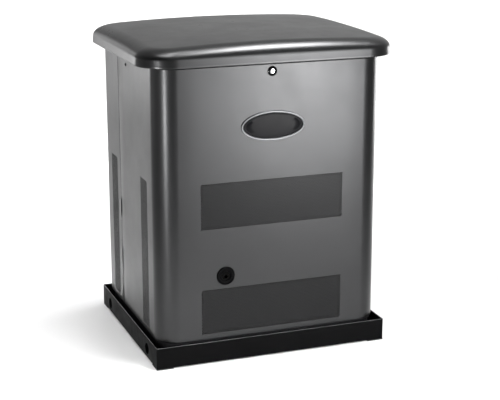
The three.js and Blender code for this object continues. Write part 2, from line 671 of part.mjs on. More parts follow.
function buildCradle() {
  const half = CRADLE_HALF;
  const bottom = CRADLE_BOTTOM;
  const plate = box(SHAFT_X - half, SHAFT_X + half, SHAFT_Y - half, SHAFT_Y + half, bottom, bottom + CRADLE_SHEET);
  const airHole = upright(SHAFT_X, SHAFT_Y, bottom - 5, bottom + 10, 50, 24);
  addNode('engine_cradle', cut(plate, airHole), 0x1f2022, 0.55, 0.5);
  for (const [side, sx] of [['left', -1], ['right', 1]]) {
    for (const [end, sy] of [['front', -1], ['rear', 1]]) {
      const x = SHAFT_X + sx * (half - ISOLATOR_INSET);
      const y = SHAFT_Y + sy * (half - ISOLATOR_INSET);
      const block = upright(x, y, FLOOR_TOP + GAP, bottom - GAP, ISOLATOR_RADIUS, 14);
      addNode(`isolator_${end}_${side}`, block, 0x151515, 0.9, 0);
    }
  }
}

function buildAlternator() {
  const coverTop = STATOR_Z[0] - GAP;
  const cover = turned(SHAFT_X, SHAFT_Y, [[0, COVER_BOTTOM], [STATOR_RADIUS, COVER_BOTTOM],
    [STATOR_RADIUS, coverTop], [0, coverTop]], 28);
  const vents = [];
  for (let i = 0; i < VENT_COUNT; i += 1) {
    const angle = (i * 4 * QUARTER) / VENT_COUNT;
    const x = SHAFT_X + VENT_CIRCLE * Math.cos(angle);
    const y = SHAFT_Y + VENT_CIRCLE * Math.sin(angle);
    vents.push(upright(x, y, COVER_BOTTOM - 6, coverTop + 5, VENT_RADIUS, 8));
  }
  addNode('alternator_end_cover', cut(cover, shaftBore(60, 95), ...vents), 0xa3a5a8, 0.5, 0.8);

  const [statorLow, statorHigh] = STATOR_Z;
  const stator = turned(SHAFT_X, SHAFT_Y, [[STATOR_BORE, statorLow], [STATOR_RADIUS, statorLow],
    [STATOR_RADIUS, statorHigh], [STATOR_BORE, statorHigh]], 28);
  addNode('alternator_stator', stator, 0x4a4c50, 0.6, 0.6);

  const rotorBody = upright(SHAFT_X, SHAFT_Y, ...ROTOR_Z, ROTOR_RADIUS, 28);
  const rotor = cut(rotorBody, shaftBore(ROTOR_Z[0] - 4, ROTOR_Z[1] + 4));
  addNode('alternator_rotor', rotor, 0x8a5a3a, 0.5, 0.6);
  addNode('crankshaft', upright(SHAFT_X, SHAFT_Y, ...SHAFT_Z, SHAFT_RADIUS, SHAFT_SEGMENTS), 0xb5b7ba, 0.3, 1);
}

function buildCrankcase() {
  const body = turned(SHAFT_X, SHAFT_Y, [[0, 290.3], [127, 290.3], [127, 306], [104, 316], [104, 344],
    [118, 352], [118, 494], [148, 497], [148, 504.7], [0, 504.7]], 28);
  const pads = [-1, 1].map((side) => orientedBox(side, 80, 118.7, 48, CYLINDER_Z - 48, CYLINDER_Z + 48));
  const filterPad = bar([140, 55, 400], [172, 55, 400], 26, 12);
  const starterLug = bar([SHAFT_X + 60, SHAFT_Y + 60, 430], [SHAFT_X + 94, SHAFT_Y + 94, 430], 12, 12);
  const dipstickArm = bar([SHAFT_X - 80, SHAFT_Y + 68, 372], [SHAFT_X - 123, SHAFT_Y + 104, 372], 9, 12);
  addNode('crankcase', cut(join(body, ...pads, filterPad, starterLug, dipstickArm), shaftBore(280, 510)),
    0x9b9da0, 0.55, 0.8);

  for (const [name, side] of [['left', -1], ['right', 1]]) {
    const profile = [[0, 119], [BARREL_RADIUS, 119]];
    for (let i = 0; i < FIN_COUNT; i += 1) {
      const start = 126 + i * FIN_PITCH;
      profile.push([BARREL_RADIUS, start], [FIN_RADIUS, start + 0.5]);
      profile.push([FIN_RADIUS, start + 6], [BARREL_RADIUS, start + 6.5]);
    }
    profile.push([BARREL_RADIUS, 205], [48, 205], [48, 215], [0, 215]);
    const [dx, dy] = [side * Math.sin(CYLINDER_ANGLE), -Math.cos(CYLINDER_ANGLE)];
    const barrel = turnedAlong([SHAFT_X, SHAFT_Y, CYLINDER_Z], [dx, dy, 0], profile, 14);
    addNode(`cylinder_${name}`, barrel, 0xa7a9ab, 0.5, 0.85);
    addNode(`valve_cover_${name}`, orientedBox(side, 215.3, 240, 42, CYLINDER_Z - 42, CYLINDER_Z + 42),
      0x26272a, 0.4, 0.4);
  }

  // Fan flywheel on top of the shaft, and the housing over it.
  const disc = turned(SHAFT_X, SHAFT_Y, [[0, 515], [118, 515], [118, 528], [40, 532], [26, 560], [0, 560]], 24);
  const blades = [];
  for (let i = 0; i < BLADE_COUNT; i += 1) {
    const geometry = new THREE.BoxGeometry(50, 4, 38);
    geometry.rotateZ(BLADE_TURN);
    geometry.translate(BLADE_RADIUS, 0, 545);
    geometry.rotateZ((i * 4 * QUARTER) / BLADE_COUNT);
    geometry.translate(SHAFT_X, SHAFT_Y, 0);
    blades.push(toManifold(geometry));
  }
  addNode('flywheel_fan', cut(join(disc, ...blades), shaftBore(505, 565)), 0x303236, 0.5, 0.3);

  const shroud = turned(SHAFT_X, SHAFT_Y, [[144, 505], [148, 505], [148, 580], [130, 612], [74, 612],
    [74, 608], [127, 608], [144, 578]], 24);
  addNode('blower_housing', shroud, 0x1c1d20, 0.6, 0.1);

  const [starterX, starterY] = [SHAFT_X + STARTER_OFFSET, SHAFT_Y + STARTER_OFFSET];
  const starter = turned(starterX, starterY, [[0, 372], [26, 372], [34, 380], [34, 480], [22, 484], [22, 493],
    [0, 493]], 16);
  addNode('starter_motor', starter, 0x2e3033, 0.4, 0.6);

  const filter = turnedAlong(OIL_FILTER_START, [1, 0, 0], [[0, 0], [36, 0], [36, 70], [30, 80], [0, 80]], 16);
  addNode('oil_filter', filter, 0x23395f, 0.4, 0.3);

  const [tubeX, tubeY] = [DIPSTICK_X, DIPSTICK_Y];
  const [tubeLow, tubeHigh] = DIPSTICK_TUBE_Z;
  const tube = cut(upright(tubeX, tubeY, tubeLow, tubeHigh, 8, 12),
    upright(tubeX, tubeY, tubeLow + 6, tubeHigh + 10, 6, 12));
  addNode('dipstick_tube', tube, 0x55585c, 0.5, 0.8);
  const stick = join(upright(tubeX, tubeY, tubeLow + 22, tubeHigh + 2, 2.5, 8),
    upright(tubeX, tubeY, tubeHigh + GAP, tubeHigh + 14, 12, 14),
    box(tubeX - 14, tubeX + 14, tubeY - 3, tubeY + 3, tubeHigh + 10, tubeHigh + 30));
  addNode('dipstick', stick, 0xd9a514, 0.5, 0);
}

function buildIntake() {
  const mixerX = SHAFT_X;
  const mixerY = MIXER_Y;
  const runner = join(bar([-36, RUNNER_Y, CYLINDER_Z], [136, RUNNER_Y, CYLINDER_Z], 12, 16),
    upright(mixerX, RUNNER_Y - 8, CYLINDER_Z - 14, CYLINDER_Z + 40, 18, 14));
  addNode('intake_manifold', runner, 0x8f9194, 0.5, 0.8);

  const mixer = join(box(mixerX - 28, mixerX + 28, mixerY - 26, mixerY + 22, 470.3, 530),
    upright(mixerX, mixerY, 525, 559.7, 24, 14),
    bar([mixerX - 40, mixerY, MIXER_INLET_Z], [mixerX - 20, mixerY, MIXER_INLET_Z], 12, 16));
  addNode('carburettor', mixer, 0xb0a99a, 0.45, 0.8);

  const boxBody = box(-60, 160, -290, -140, 560, 650);
  const lidEdge = box(-64, 164, -294, -136, 640, 655);
  addNode('air_filter_box', join(boxBody, lidEdge), 0x18191b, 0.6, 0);

  const [regX, regY, regZ] = [REGULATOR_X, REGULATOR_Y, REGULATOR_Z];
  const regulator = join(
    bar([regX, regY - 30, regZ], [regX, regY + 28, regZ], 52, 18),
    box(regX - 14, regX + 14, regY + 26, CABINET_HALF_Y - SHEET - GAP, regZ - 12, regZ + 12),
    upright(regX, regY, regZ - 66, regZ - 40, 14, 16),
    bar([regX + 40, regY, regZ], [regX + 64, regY, regZ], 12, 16),
  );
  addNode('gas_regulator', regulator, 0x8d8f92, 0.5, 0.8);

  const inlet = sweep([
    [FUEL_X, 358, FUEL_Z],
    [FUEL_X, 310, FUEL_Z],
    [FUEL_X - 8, 285, FUEL_Z + 8],
    [-180, 245, 260],
    [regX + 4, regY + 4, 340],
    [regX, regY, 420],
    [regX, regY, regZ - 66.4],
  ], 11, 0, 18, 4);
  addNode('gas_inlet_pipe', inlet, 0xc2a13a, 0.4, 0.8);

  const hose = sweep([
    [regX + 65.5, regY, regZ],
    [regX + 78, regY, regZ],
    [regX + 92, regY - 20, regZ + 18],
    [-170, 120, 600],
    [-210, 0, 610],
    [-150, -120, 560],
    [-60, mixerY + 1, MIXER_INLET_Z + 1],
    [-20, mixerY, MIXER_INLET_Z],
    [mixerX - 41, mixerY, MIXER_INLET_Z],
  ], 9, 0, 22, 4);
  addNode('gas_hose', hose, 0x121212, 0.8, 0);
}

function buildElectrical() {
  const { x0, x1, y0, y1, top } = BATTERY;
  const floor = FLOOR_TOP + GAP;
  const posts = [y0 + 22, y1 - 22].map((y) => upright(BATTERY_POST_X, y, top - 2, top + 14, 8, 12));
  addNode('battery', join(box(x0, x1, y0, y1, floor, top), ...posts), 0x16171a, 0.5, 0);

  const strap = cut(
    box(x0 - STRAP_SHEET, x1 + STRAP_SHEET, ...STRAP_Y, floor, top + STRAP_SHEET),
    box(x0 - GAP, x1 + GAP, STRAP_Y[0] - 5, STRAP_Y[1] + 5, floor - 5, top + GAP),
  );
  addNode('battery_strap', strap, 0x9a9ca0, 0.4, 0.8);

  const cable = sweep([
    [BATTERY_POST_X, y1 - 22, top + 14.5],
    [BATTERY_POST_X, y1 - 21, 215],
    [290, 40, 260],
    [235, 110, 300],
    [182, 143, 335],
    [170, 145, 352],
    [170, 145, 371.5],
  ], 5, 0, 14, 3);
  addNode('battery_cable', cable, 0x8e1b16, 0.6, 0);

  // Control box under the lid: open-topped case with a switch panel lying on it.
  const wall = CONTROL_SHEET;
  const body = box(CONTROL.x0, CONTROL.x1, CONTROL.y0, CONTROL.y1, CONTROL.z0, CONTROL.z1);
  const cavity = box(CONTROL.x0 + wall, CONTROL.x1 - wall, CONTROL.y0 + wall, CONTROL.y1 - wall,
    CONTROL.z0 + wall, CONTROL.z1 + 5);
  const ear = box(-379.2, CONTROL.x0 + 1, CONTROL.y0 + 20, CONTROL.y1 - 10, CONTROL.z1 - 8, CONTROL.z1 - 5);
  addNode('control_box', cut(join(body, ear), cavity), 0x202225, 0.5, 0.4);

  const faceBottom = CONTROL.z1 + GAP;
  const faceTop = faceBottom + CONTROL_FACE;
  const [switchX, switchY] = [MODE_SWITCH_X, CONTROL_ROW_Y];
  const [breakerX, breakerY] = [BREAKER_X, CONTROL_ROW_Y];
  const switchHole = box(switchX - 12, switchX + 12, switchY - 20, switchY + 20, faceBottom - 5, faceTop + 5);
  const leverHole = box(breakerX - 7, breakerX + 7, breakerY - 18, breakerY + 18, faceBottom - 25, faceTop + 20);
  const bezel = box(breakerX - 26, breakerX + 26, breakerY - 30, breakerY + 30, faceBottom, faceTop + 4);
  const fuse = upright(FUSE_X, CONTROL_ROW_Y, faceBottom, faceTop + 14, 9, 20);
  const sheet = box(CONTROL.x0, CONTROL.x1, CONTROL.y0, CONTROL.y1, faceBottom, faceTop);
  const face = join(sheet, bezel, fuse);
  addNode('control_face', cut(face, switchHole, leverHole), 0x2f3236, 0.5, 0.1);

  const pivotZ = faceBottom + 1;
  addNode('mode_switch', join(
    box(switchX - 10, switchX + 10, switchY - 15, switchY + 15, pivotZ - 3, pivotZ + 7),
    bar([switchX - 10.5, switchY, pivotZ], [switchX + 10.5, switchY, pivotZ], 4, 16),
  ), 0xb3261e, 0.4, 0);
  addNode('breaker_lever', join(
    box(breakerX - 5, breakerX + 5, breakerY - 4, breakerY + 4, pivotZ - 2, pivotZ + 20),
    bar([breakerX - 6, breakerY, pivotZ], [breakerX + 6, breakerY, pivotZ], 6, 16),
  ), 0x0e0e0f, 0.5, 0);
}

buildBase();
buildSkin();
buildUtilityPlate();
buildLid();
buildHinge();
buildLock();
buildBadge();
buildExhaust();
buildCradle();
buildAlternator();
buildCrankcase();
buildIntake();
buildElectrical();

export default group;
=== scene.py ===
import math

import bmesh
import bpy
import numpy as np
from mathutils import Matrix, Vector


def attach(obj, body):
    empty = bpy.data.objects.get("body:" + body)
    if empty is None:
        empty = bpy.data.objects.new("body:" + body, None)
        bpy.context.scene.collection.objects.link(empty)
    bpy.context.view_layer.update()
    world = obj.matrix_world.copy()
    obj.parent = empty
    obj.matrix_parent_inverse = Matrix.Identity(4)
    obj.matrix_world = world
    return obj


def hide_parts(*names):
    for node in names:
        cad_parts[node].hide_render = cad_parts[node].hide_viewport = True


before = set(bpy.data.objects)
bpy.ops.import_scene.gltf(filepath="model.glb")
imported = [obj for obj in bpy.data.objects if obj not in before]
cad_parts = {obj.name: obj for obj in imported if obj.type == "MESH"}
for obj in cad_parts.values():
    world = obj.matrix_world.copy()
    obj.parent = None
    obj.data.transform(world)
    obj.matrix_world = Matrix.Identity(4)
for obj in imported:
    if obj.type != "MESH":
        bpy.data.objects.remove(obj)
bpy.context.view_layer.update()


MM = 0.001
TAU = 2 * math.pi

# ------------------------------------------------------------------ sizes, in millimetres

TRAY = dict(half_x=400, half_y=342, bottom=3, top=74, sheet=3, floor=6)
LIFT_HOLES_Y = (243, -227.5)
LIFT_HOLE_Z = 34
LIFT_HOLE_RADIUS = 20
CABINET = dict(half_x=384, half_y=330.5, front=72, rear=60, bottom=78, top=966)
SEAM_Y = 110
LID = dict(
    half_x=430, half_y=364, radius=112, bottom=974.4, lip=24, rounding=57, edge=49, crown_x=15, crown_y=8,
    draft=1.8,
)
LID_SHEET = 2.6
PANEL_SHEET = 1.8
PANEL_FOLD = 3.5
SEAM_HALF = 0.5
PITCH = 5.4
ROW = PITCH * math.sqrt(3) / 2
HOLE_RADIUS = 2.4
HOLE_SIDES = 8
FRONT_COLUMNS, FRONT_ROWS = 90, 32
SIDE_COLUMNS, SIDE_ROWS = 14, 106
FRONT_FIELDS_Z = (172.75, 523.5)
SIDE_FIELD_Z = 345
SIDE_FIELD_FRONT_Y = -172.5
SIDE_FIELD_REAR_Y = 187
LOCK = (-3.5, 945)
LOCK_OPENING = 10
PORT = (-161, 289.5)
PORT_OPENING = 20
BADGE_Z = 771
BADGE_HALF = (108, 48)
BADGE_FIELD_HALF = (100.4, 40.4)
BADGE_STEPS = 128
SCREW_Y = 12
SCREW_Z = 934

# ------------------------------------------------------------------ materials

GRAIN_DEPTH = 0.0002


def link(tree, a, b):
    tree.links.new(a, b)


def new_material(name, color, roughness, metallic=0.0, **extra):
    """A Principled material with its uniform values set on the shader itself."""
    mat = bpy.data.materials.new(name)
    mat.use_nodes = True
    shader = mat.node_tree.nodes["Principled BSDF"]
    shader.inputs["Base Color"].default_value = (*color, 1)
    shader.inputs["Roughness"].default_value = roughness
    shader.inputs["Metallic"].default_value = metallic
    for socket, value in extra.items():
        shader.inputs[socket.replace("_", " ")].default_value = value
    return mat


def noise(tree, scale, detail=4.0, rough=0.55, stretch=(1, 1, 1)):
    """A noise factor in object space."""
    coords = tree.nodes.new("ShaderNodeTexCoord")
    mapping = tree.nodes.new("ShaderNodeMapping")
    mapping.inputs["Scale"].default_value = stretch
    tex = tree.nodes.new("ShaderNodeTexNoise")
    tex.inputs["Scale"].default_value = scale
    tex.inputs["Detail"].default_value = detail
    tex.inputs["Roughness"].default_value = rough
    link(tree, coords.outputs["Object"], mapping.inputs["Vector"])
    link(tree, mapping.outputs["Vector"], tex.inputs["Vector"])
    return tex.outputs["Fac"]


def ramp(tree, factor, low, high, start=0.3, end=0.7):
    """Takes a factor from start..end to low..high."""
    node = tree.nodes.new("ShaderNodeMapRange")
    node.inputs["From Min"].default_value = start
    node.inputs["From Max"].default_value = end
    node.inputs["To Min"].default_value = low
    node.inputs["To Max"].default_value = high
    link(tree, factor, node.inputs["Value"])
    return node.outputs["Result"]


def mix_color(tree, factor, a, b):
    node = tree.nodes.new("ShaderNodeMix")
    node.data_type = "RGBA"
    node.inputs["A"].default_value = (*a, 1)
    node.inputs["B"].default_value = (*b, 1)
    link(tree, factor, node.inputs["Factor"])
    return node.outputs["Result"]


def finish_surface(mat, color, spread, rough_low, rough_high, grain_scale, bump, cloud_scale=4.0,
                   stretch=(1, 1, 1)):
    """Adds cloudy colour, uneven roughness and a fine grain to a material."""
    tree = mat.node_tree
    shader = tree.nodes["Principled BSDF"]
    clouds = noise(tree, cloud_scale, 5.0, 0.6, stretch)
    dark = tuple(c * (1 - spread) for c in color)
    light = tuple(min(1.0, c * (1 + spread)) for c in color)
    link(tree, mix_color(tree, ramp(tree, clouds, 0, 1), dark, light), shader.inputs["Base Color"])
    smudge = noise(tree, cloud_scale * 2.7, 6.0, 0.65, stretch)
    link(tree, ramp(tree, smudge, rough_low, rough_high), shader.inputs["Roughness"])
    if bump > 0:
        grain = noise(tree, grain_scale, 2.0, 0.5, stretch)
        node = tree.nodes.new("ShaderNodeBump")
        node.inputs["Strength"].default_value = bump
        node.inputs["Distance"].default_value = GRAIN_DEPTH
        link(tree, grain, node.inputs["Height"])
        link(tree, node.outputs["Normal"], shader.inputs["Normal"])
    return mat


def metallic_paint(name, color, low=0.30, high=0.36):
    mat = new_material(name, color, low, 0.88, Coat_Weight=0.1, Coat_Roughness=0.2)
    return finish_surface(mat, color, 0.05, low, high, 1400, 0.1, 3.0)


def black_paint(name, color=(0.004, 0.004, 0.0043), low=0.34, high=0.46, gloss=0.15):
    mat = new_material(name, color, low, 0.0, Specular_IOR_Level=gloss)
    return finish_surface(mat, color, 0.25, low, high, 900, 0.25, 6.0)


def rubber(name, color=(0.012, 0.012, 0.012)):
    return finish_surface(new_material(name, color, 0.8), color, 0.3, 0.7, 0.9, 700, 0.5, 9.0)


def plastic(name, color, low=0.4, high=0.5, gloss=0.3):
    mat = new_material(name, color, low, Specular_IOR_Level=gloss)
    return finish_surface(mat, color, 0.12, low, high, 1100, 0.3, 8.0)


def bare_metal(name, color, low=0.25, high=0.4, bump=0.2, stretch=(1, 1, 1), spread=0.15):
    mat = new_material(name, color, low, 1.0)
    return finish_surface(mat, color, spread, low, high, 600, bump, 12.0, stretch)


def cast_metal(name, color, low=0.45, high=0.65):
    mat = new_material(name, color, low, 0.85)
    return finish_surface(mat, color, 0.2, low, high, 350, 0.9, 10.0)


def hot_metal(name):
    """Steel that has been heated: blotches of straw and brown over dull grey."""
    mat = new_material(name, (0.22, 0.2, 0.18), 0.5, 0.9)
    return finish_surface(mat, (0.2, 0.17, 0.14), 0.45, 0.42, 0.7, 250, 0.6, 14.0)


PANEL_GREY = (0.032, 0.0322, 0.033)
LID_GREY = (0.036, 0.0362, 0.037)
PAINT = metallic_paint("panel_paint", PANEL_GREY)
LID_PAINT = metallic_paint("lid_paint", LID_GREY, 0.27, 0.33)
TRAY_PAINT = black_paint("tray_paint", (0.0022, 0.0022, 0.0024), 0.42, 0.55, gloss=0.035)
# The rim colour is far lighter than the tray's own: a painted highlight along the top edge. Its higher gloss
# is a real finish.
RIM_PAINTED_HIGHLIGHT = black_paint("tray_rim_painted_highlight", (0.06, 0.06, 0.062), 0.3, 0.4, gloss=0.4)
INNER_PAINT = black_paint("inner_paint", (0.008, 0.008, 0.009), 0.5, 0.62)
TRIM_BLACK = plastic("trim_black", (0.0018, 0.0018, 0.002), 0.34, 0.44, 0.03)
CHROME = bare_metal("chrome", (0.86, 0.87, 0.89), 0.05, 0.1, 0.02, spread=0.03)
BADGE_SILVER = bare_metal("badge_silver", (0.13, 0.133, 0.137), 0.27, 0.3, 0.05, spread=0.05)
BADGE_BLACK = plastic("badge_black", (0.005, 0.005, 0.006), 0.3, 0.36, 0.08)
SCREW_BLACK = bare_metal("screw_black", (0.03, 0.03, 0.032), 0.35, 0.5)
HOT = hot_metal("hot_steel")
# A near-black dull steel, used for the tailpipe.
NEAR_BLACK_STEEL = cast_metal("near_black_steel", (0.006, 0.0058, 0.0055), 0.7, 0.85)

ZINC = bare_metal("zinc_plate", (0.56, 0.56, 0.58), 0.28, 0.42)
STEEL = bare_metal("ground_steel", (0.55, 0.55, 0.56), 0.2, 0.32)
CAST_ALUMINIUM = cast_metal("cast_aluminium", (0.42, 0.42, 0.43))
DIE_CAST = cast_metal("die_cast", (0.5, 0.48, 0.44), 0.35, 0.5)
CAST_IRON = cast_metal("cast_iron", (0.05, 0.05, 0.052), 0.5, 0.7)
ALUMINISED = bare_metal("aluminised_steel", (0.34, 0.33, 0.32), 0.4, 0.6, 0.3, spread=0.3)
RUBBER = rubber("rubber_black")
# This near-black serves the lid's foam gasket and also the sheets of painted shade behind the punched fields.
FOAM_AND_PAINTED_SHADE = rubber("foam_seal_and_painted_shade", (0.008, 0.008, 0.008))
HOSE_RUBBER = rubber("hose_rubber", (0.006, 0.006, 0.006))
CABLE_RED = plastic("cable_red", (0.3, 0.008, 0.006))
HOUSING_BLACK = plastic("housing_black", (0.011, 0.011, 0.012), 0.45, 0.6)
BATTERY_BLACK = plastic("battery_black", (0.008, 0.008, 0.009), 0.3, 0.45)
CAP_YELLOW = plastic("cap_yellow", (0.72, 0.38, 0.01), 0.3, 0.42)
PIPE_YELLOW = plastic("pipe_yellow", (0.45, 0.3, 0.03), 0.35, 0.5)
FILTER_BLUE = plastic("filter_blue", (0.01, 0.03, 0.12), 0.2, 0.3)
FACE_GREY = plastic("face_grey", (0.03, 0.031, 0.034), 0.45, 0.6)
BOX_GREY = black_paint("box_grey", (0.02, 0.02, 0.022), 0.35, 0.5)
SWITCH_RED = plastic("switch_red", (0.42, 0.012, 0.01), 0.3, 0.4)


def layered_metal(name, color, gap, pitch_mm, axis=2):
    """Stacked sheet metal: fine dark lines across one axis."""
    mat = cast_metal(name, color)
    tree = mat.node_tree
    shader = tree.nodes["Principled BSDF"]
    coords = tree.nodes.new("ShaderNodeTexCoord")
    split = tree.nodes.new("ShaderNodeSeparateXYZ")
    link(tree, coords.outputs["Object"], split.inputs["Vector"])
    wave = tree.nodes.new("ShaderNodeMath")
    wave.operation = "PINGPONG"
    wave.inputs[1].default_value = pitch_mm * MM / 2
    link(tree, split.outputs[axis], wave.inputs[0])
    lines = ramp(tree, wave.outputs[0], 0, 1, 0, pitch_mm * MM / 6)
    link(tree, mix_color(tree, lines, gap, color), shader.inputs["Base Color"])
    return mat


LAMINATIONS = layered_metal("laminations", (0.12, 0.12, 0.125), (0.02, 0.02, 0.02), 3)
WINDINGS = layered_metal("copper_windings", (0.5, 0.19, 0.08), (0.08, 0.02, 0.01), 2.4)

NODE_MATERIALS = {
    INNER_PAINT: ("sill_frame", "top_frame", "lid_frame", "intake_baffle", "engine_cradle", "utility_plate"),
    RUBBER: ("foot_front_left", "foot_rear_left", "foot_front_right", "foot_rear_right",
             "isolator_front_left", "isolator_rear_left", "isolator_front_right", "isolator_rear_right"),
    FOAM_AND_PAINTED_SHADE: ("lid_gasket",),
    ZINC: ("lid_striker", "lock_cam", "hinge_pin", "dipstick_tube", "battery_strap"),
    BOX_GREY: ("hinge_leaf_fixed", "hinge_leaf_lid", "valve_cover_left", "valve_cover_right", "starter_motor",
               "control_box"),
    HOT: ("exhaust_manifold",),
    NEAR_BLACK_STEEL: ("tailpipe",),
    ALUMINISED: ("muffler",),
    CAST_ALUMINIUM: ("alternator_end_cover", "crankcase", "cylinder_left", "cylinder_right",
                     "intake_manifold"),
    DIE_CAST: ("carburettor", "gas_regulator"),
    LAMINATIONS: ("alternator_stator",),
    WINDINGS: ("alternator_rotor",),
    STEEL: ("crankshaft",),
    CAST_IRON: ("flywheel_fan",),
    HOUSING_BLACK: ("blower_housing", "air_filter_box"),
    FILTER_BLUE: ("oil_filter",),
    CAP_YELLOW: ("dipstick",),
    BATTERY_BLACK: ("battery", "breaker_lever"),
    CABLE_RED: ("battery_cable",),
    FACE_GREY: ("control_face",),
    SWITCH_RED: ("mode_switch",),
    PIPE_YELLOW: ("gas_inlet_pipe",),
    HOSE_RUBBER: ("gas_hose",),
}


def dress_nodes():
    """Gives each CAD node its material."""
    for mat, nodes in NODE_MATERIALS.items():
        for node in nodes:
            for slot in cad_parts[node].material_slots:
                slot.material = mat


# ------------------------------------------------------------------ building helpers


def add_object(name, verts, faces, mat, body, smooth_angle=35.0):
    """Makes a mesh object from points in millimetres and lets it ride a CAD body."""
    mesh = bpy.data.meshes.new(name)
    points = [tuple(float(c) * MM for c in v) for v in verts]
    mesh.from_pydata(points, [], [tuple(map(int, f)) for f in faces])
    mesh.validate()
    return add_mesh(name, mesh, mat, body, smooth_angle)


def add_mesh(name, mesh, mat, body, smooth_angle=35.0):
    obj = bpy.data.objects.new(name, mesh)
    bpy.context.scene.collection.objects.link(obj)
    mesh.materials.append(mat)
    mesh.shade_smooth()
    mesh.set_sharp_from_angle(angle=math.radians(smooth_angle))
    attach(obj, body)
    return obj


def modify(obj, kind, **settings):
    mod = obj.modifiers.new(kind.lower(), kind)
    for key, value in settings.items():
        setattr(mod, key, value)
    return mod


def outline(half_x, half_y, front, rear, arc_steps=16, along=10):
    """Points and outward normals of a rounded rectangle, anticlockwise from the middle of the rear."""
    points, normals = [], []
    corners = [(-half_x + rear, half_y - rear, rear, 90), (-half_x + front, -half_y + front, front, 180),
               (half_x - front, -half_y + front, front, 270), (half_x - rear, half_y - rear, rear, 0)]
    points.append((0, half_y))
    normals.append((0, 1))
    for cx, cy, radius, start in corners:
        first = (cx + radius * math.cos(math.radians(start)), cy + radius * math.sin(math.radians(start)))
        last = points[-1]
        for i in range(1, along):
            t = i / along
            points.append((last[0] + (first[0] - last[0]) * t, last[1] + (first[1] - last[1]) * t))
            normals.append((math.cos(math.radians(start)), math.sin(math.radians(start))))
        for i in range(arc_steps + 1):
            a = math.radians(start + 90 * i / arc_steps)
            points.append((cx + radius * math.cos(a), cy + radius * math.sin(a)))
            normals.append((math.cos(a), math.sin(a)))
    last, first = points[-1], points[0]
    for i in range(1, along):
        t = i / along
        points.append((last[0] + (first[0] - last[0]) * t, last[1] + (first[1] - last[1]) * t))
        normals.append((0, 1))
    return np.array(points, float), np.array(normals, float)


def grid_faces(rings, around):
    """Quads between closed rings of points that follow each other."""
    faces = []
    for r in range(rings - 1):
        for i in range(around):
            j = (i + 1) % around
            faces.append((r * around + i, r * around + j, (r + 1) * around + j, (r + 1) * around + i))
    return faces


def lathe(name, profile, centre, axis, mat, body, steps=48, smooth_angle=35.0):
    """Turns (radius, height) points about an axis through a centre. Radius 0 closes on the axis."""
    turn = Vector((0, 0, 1)).rotation_difference(Vector(axis)).to_matrix()
    verts, faces, rows = [], [], []
    for radius, height in profile:
        if radius < 1e-6:
            rows.append([len(verts)] * steps)
            verts.append(turn @ Vector((0, 0, height)) + Vector(centre))
            continue
        rows.append(list(range(len(verts), len(verts) + steps)))
        for i in range(steps):
            a = TAU * i / steps
            verts.append(turn @ Vector((radius * math.cos(a), radius * math.sin(a), height)) + Vector(centre))
    for low, high in zip(rows, rows[1:]):
        for i in range(steps):
            j = (i + 1) % steps
            face = list(dict.fromkeys((low[i], low[j], high[j], high[i])))
            if len(face) > 2:
                faces.append(face)
    return add_object(name, verts, faces, mat, body, smooth_angle)


# ------------------------------------------------------------------ base tray


def build_tray():
    """The tray's section, as (inset, height) points, is carried round its plan outline."""
    t = TRAY
    points, normals = outline(t["half_x"], t["half_y"], 3.5, 3.5, 6, 8)
    profile = [(30, t["bottom"]), (3, t["bottom"])]
    for a in np.linspace(0.2, math.pi / 2, 6):
        profile.append((3 - 3 * math.sin(a), t["bottom"] + 3 - 3 * math.cos(a)))
    top = t["top"] - 1.2
    profile += [(0, 20), (0, 48), (0, top)]
    for a in np.linspace(0.3, math.pi - 0.3, 7):
        profile.append((1.5 - 1.5 * math.cos(a), top + 1.2 * math.sin(a)))
    profile += [(3, top), (3, 48), (3, 20), (3, t["floor"] + 1), (4, t["floor"]), (30, t["floor"])]
    verts = []
    for inset, z in profile:
        ring = points - normals * inset
        verts += [(x, y, z) for x, y in ring]
    around = len(points)
    faces = grid_faces(len(profile), around)
    faces.append(tuple(range(around)))
    faces.append(tuple(range((len(profile) - 1) * around, len(profile) * around)))
    tray = add_object("base_tray_formed", verts, faces, TRAY_PAINT, "cabinet", 40)
    cutters = []
    for y in LIFT_HOLES_Y:
        bpy.ops.mesh.primitive_cylinder_add(
            vertices=48, radius=LIFT_HOLE_RADIUS * MM, depth=1.0,
            location=(0, y * MM, LIFT_HOLE_Z * MM), rotation=(0, math.pi / 2, 0),
        )
        cutters.append(bpy.context.object)
    for cutter in cutters:
        modify(tray, "BOOLEAN", operation="DIFFERENCE", object=cutter, solver="EXACT")
    bake_modifiers(tray, 40)
    for cutter in cutters:
        bpy.data.objects.remove(cutter)
    # Faces along the top of the rim take the lighter colour, a painted highlight.
    tray.data.materials.append(RIM_PAINTED_HIGHLIGHT)
    for face in tray.data.polygons:
        if face.center.z > (t["top"] - 0.7) * MM:
            face.material_index = 1
    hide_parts("base_tray")

    # Short sleeves that guide a lifting bar through each hole.
    wall = t["half_x"] - t["sheet"]
    section = [(20.2, -34), (21.6, -34), (21.6, -0.3), (20.2, -0.3), (20.2, -34)]
    for side, sx in (("left", -1), ("right", 1)):
        for end, y in zip(("rear", "front"), LIFT_HOLES_Y):
            sleeve = lathe(f"lift_sleeve_{end}_{side}", section, (sx * wall, y, LIFT_HOLE_Z), (sx, 0, 0),
                           TRAY_PAINT, "cabinet", 48)


def bake_modifiers(obj, smooth_angle):
    """Applies an object's modifiers to its mesh and marks its sharp edges again."""
    graph = bpy.context.evaluated_depsgraph_get()
    done = bpy.data.meshes.new_from_object(obj.evaluated_get(graph))
    obj.modifiers.clear()
    obj.data = done
    done.shade_smooth()
    done.set_sharp_from_angle(angle=math.radians(smooth_angle))


FLAT_ANGLE = math.radians(0.5)
PAIRING_ANGLE = math.radians(40)
CREASE_ANGLE = math.radians(38)
BEVEL_ANGLE = math.radians(35)


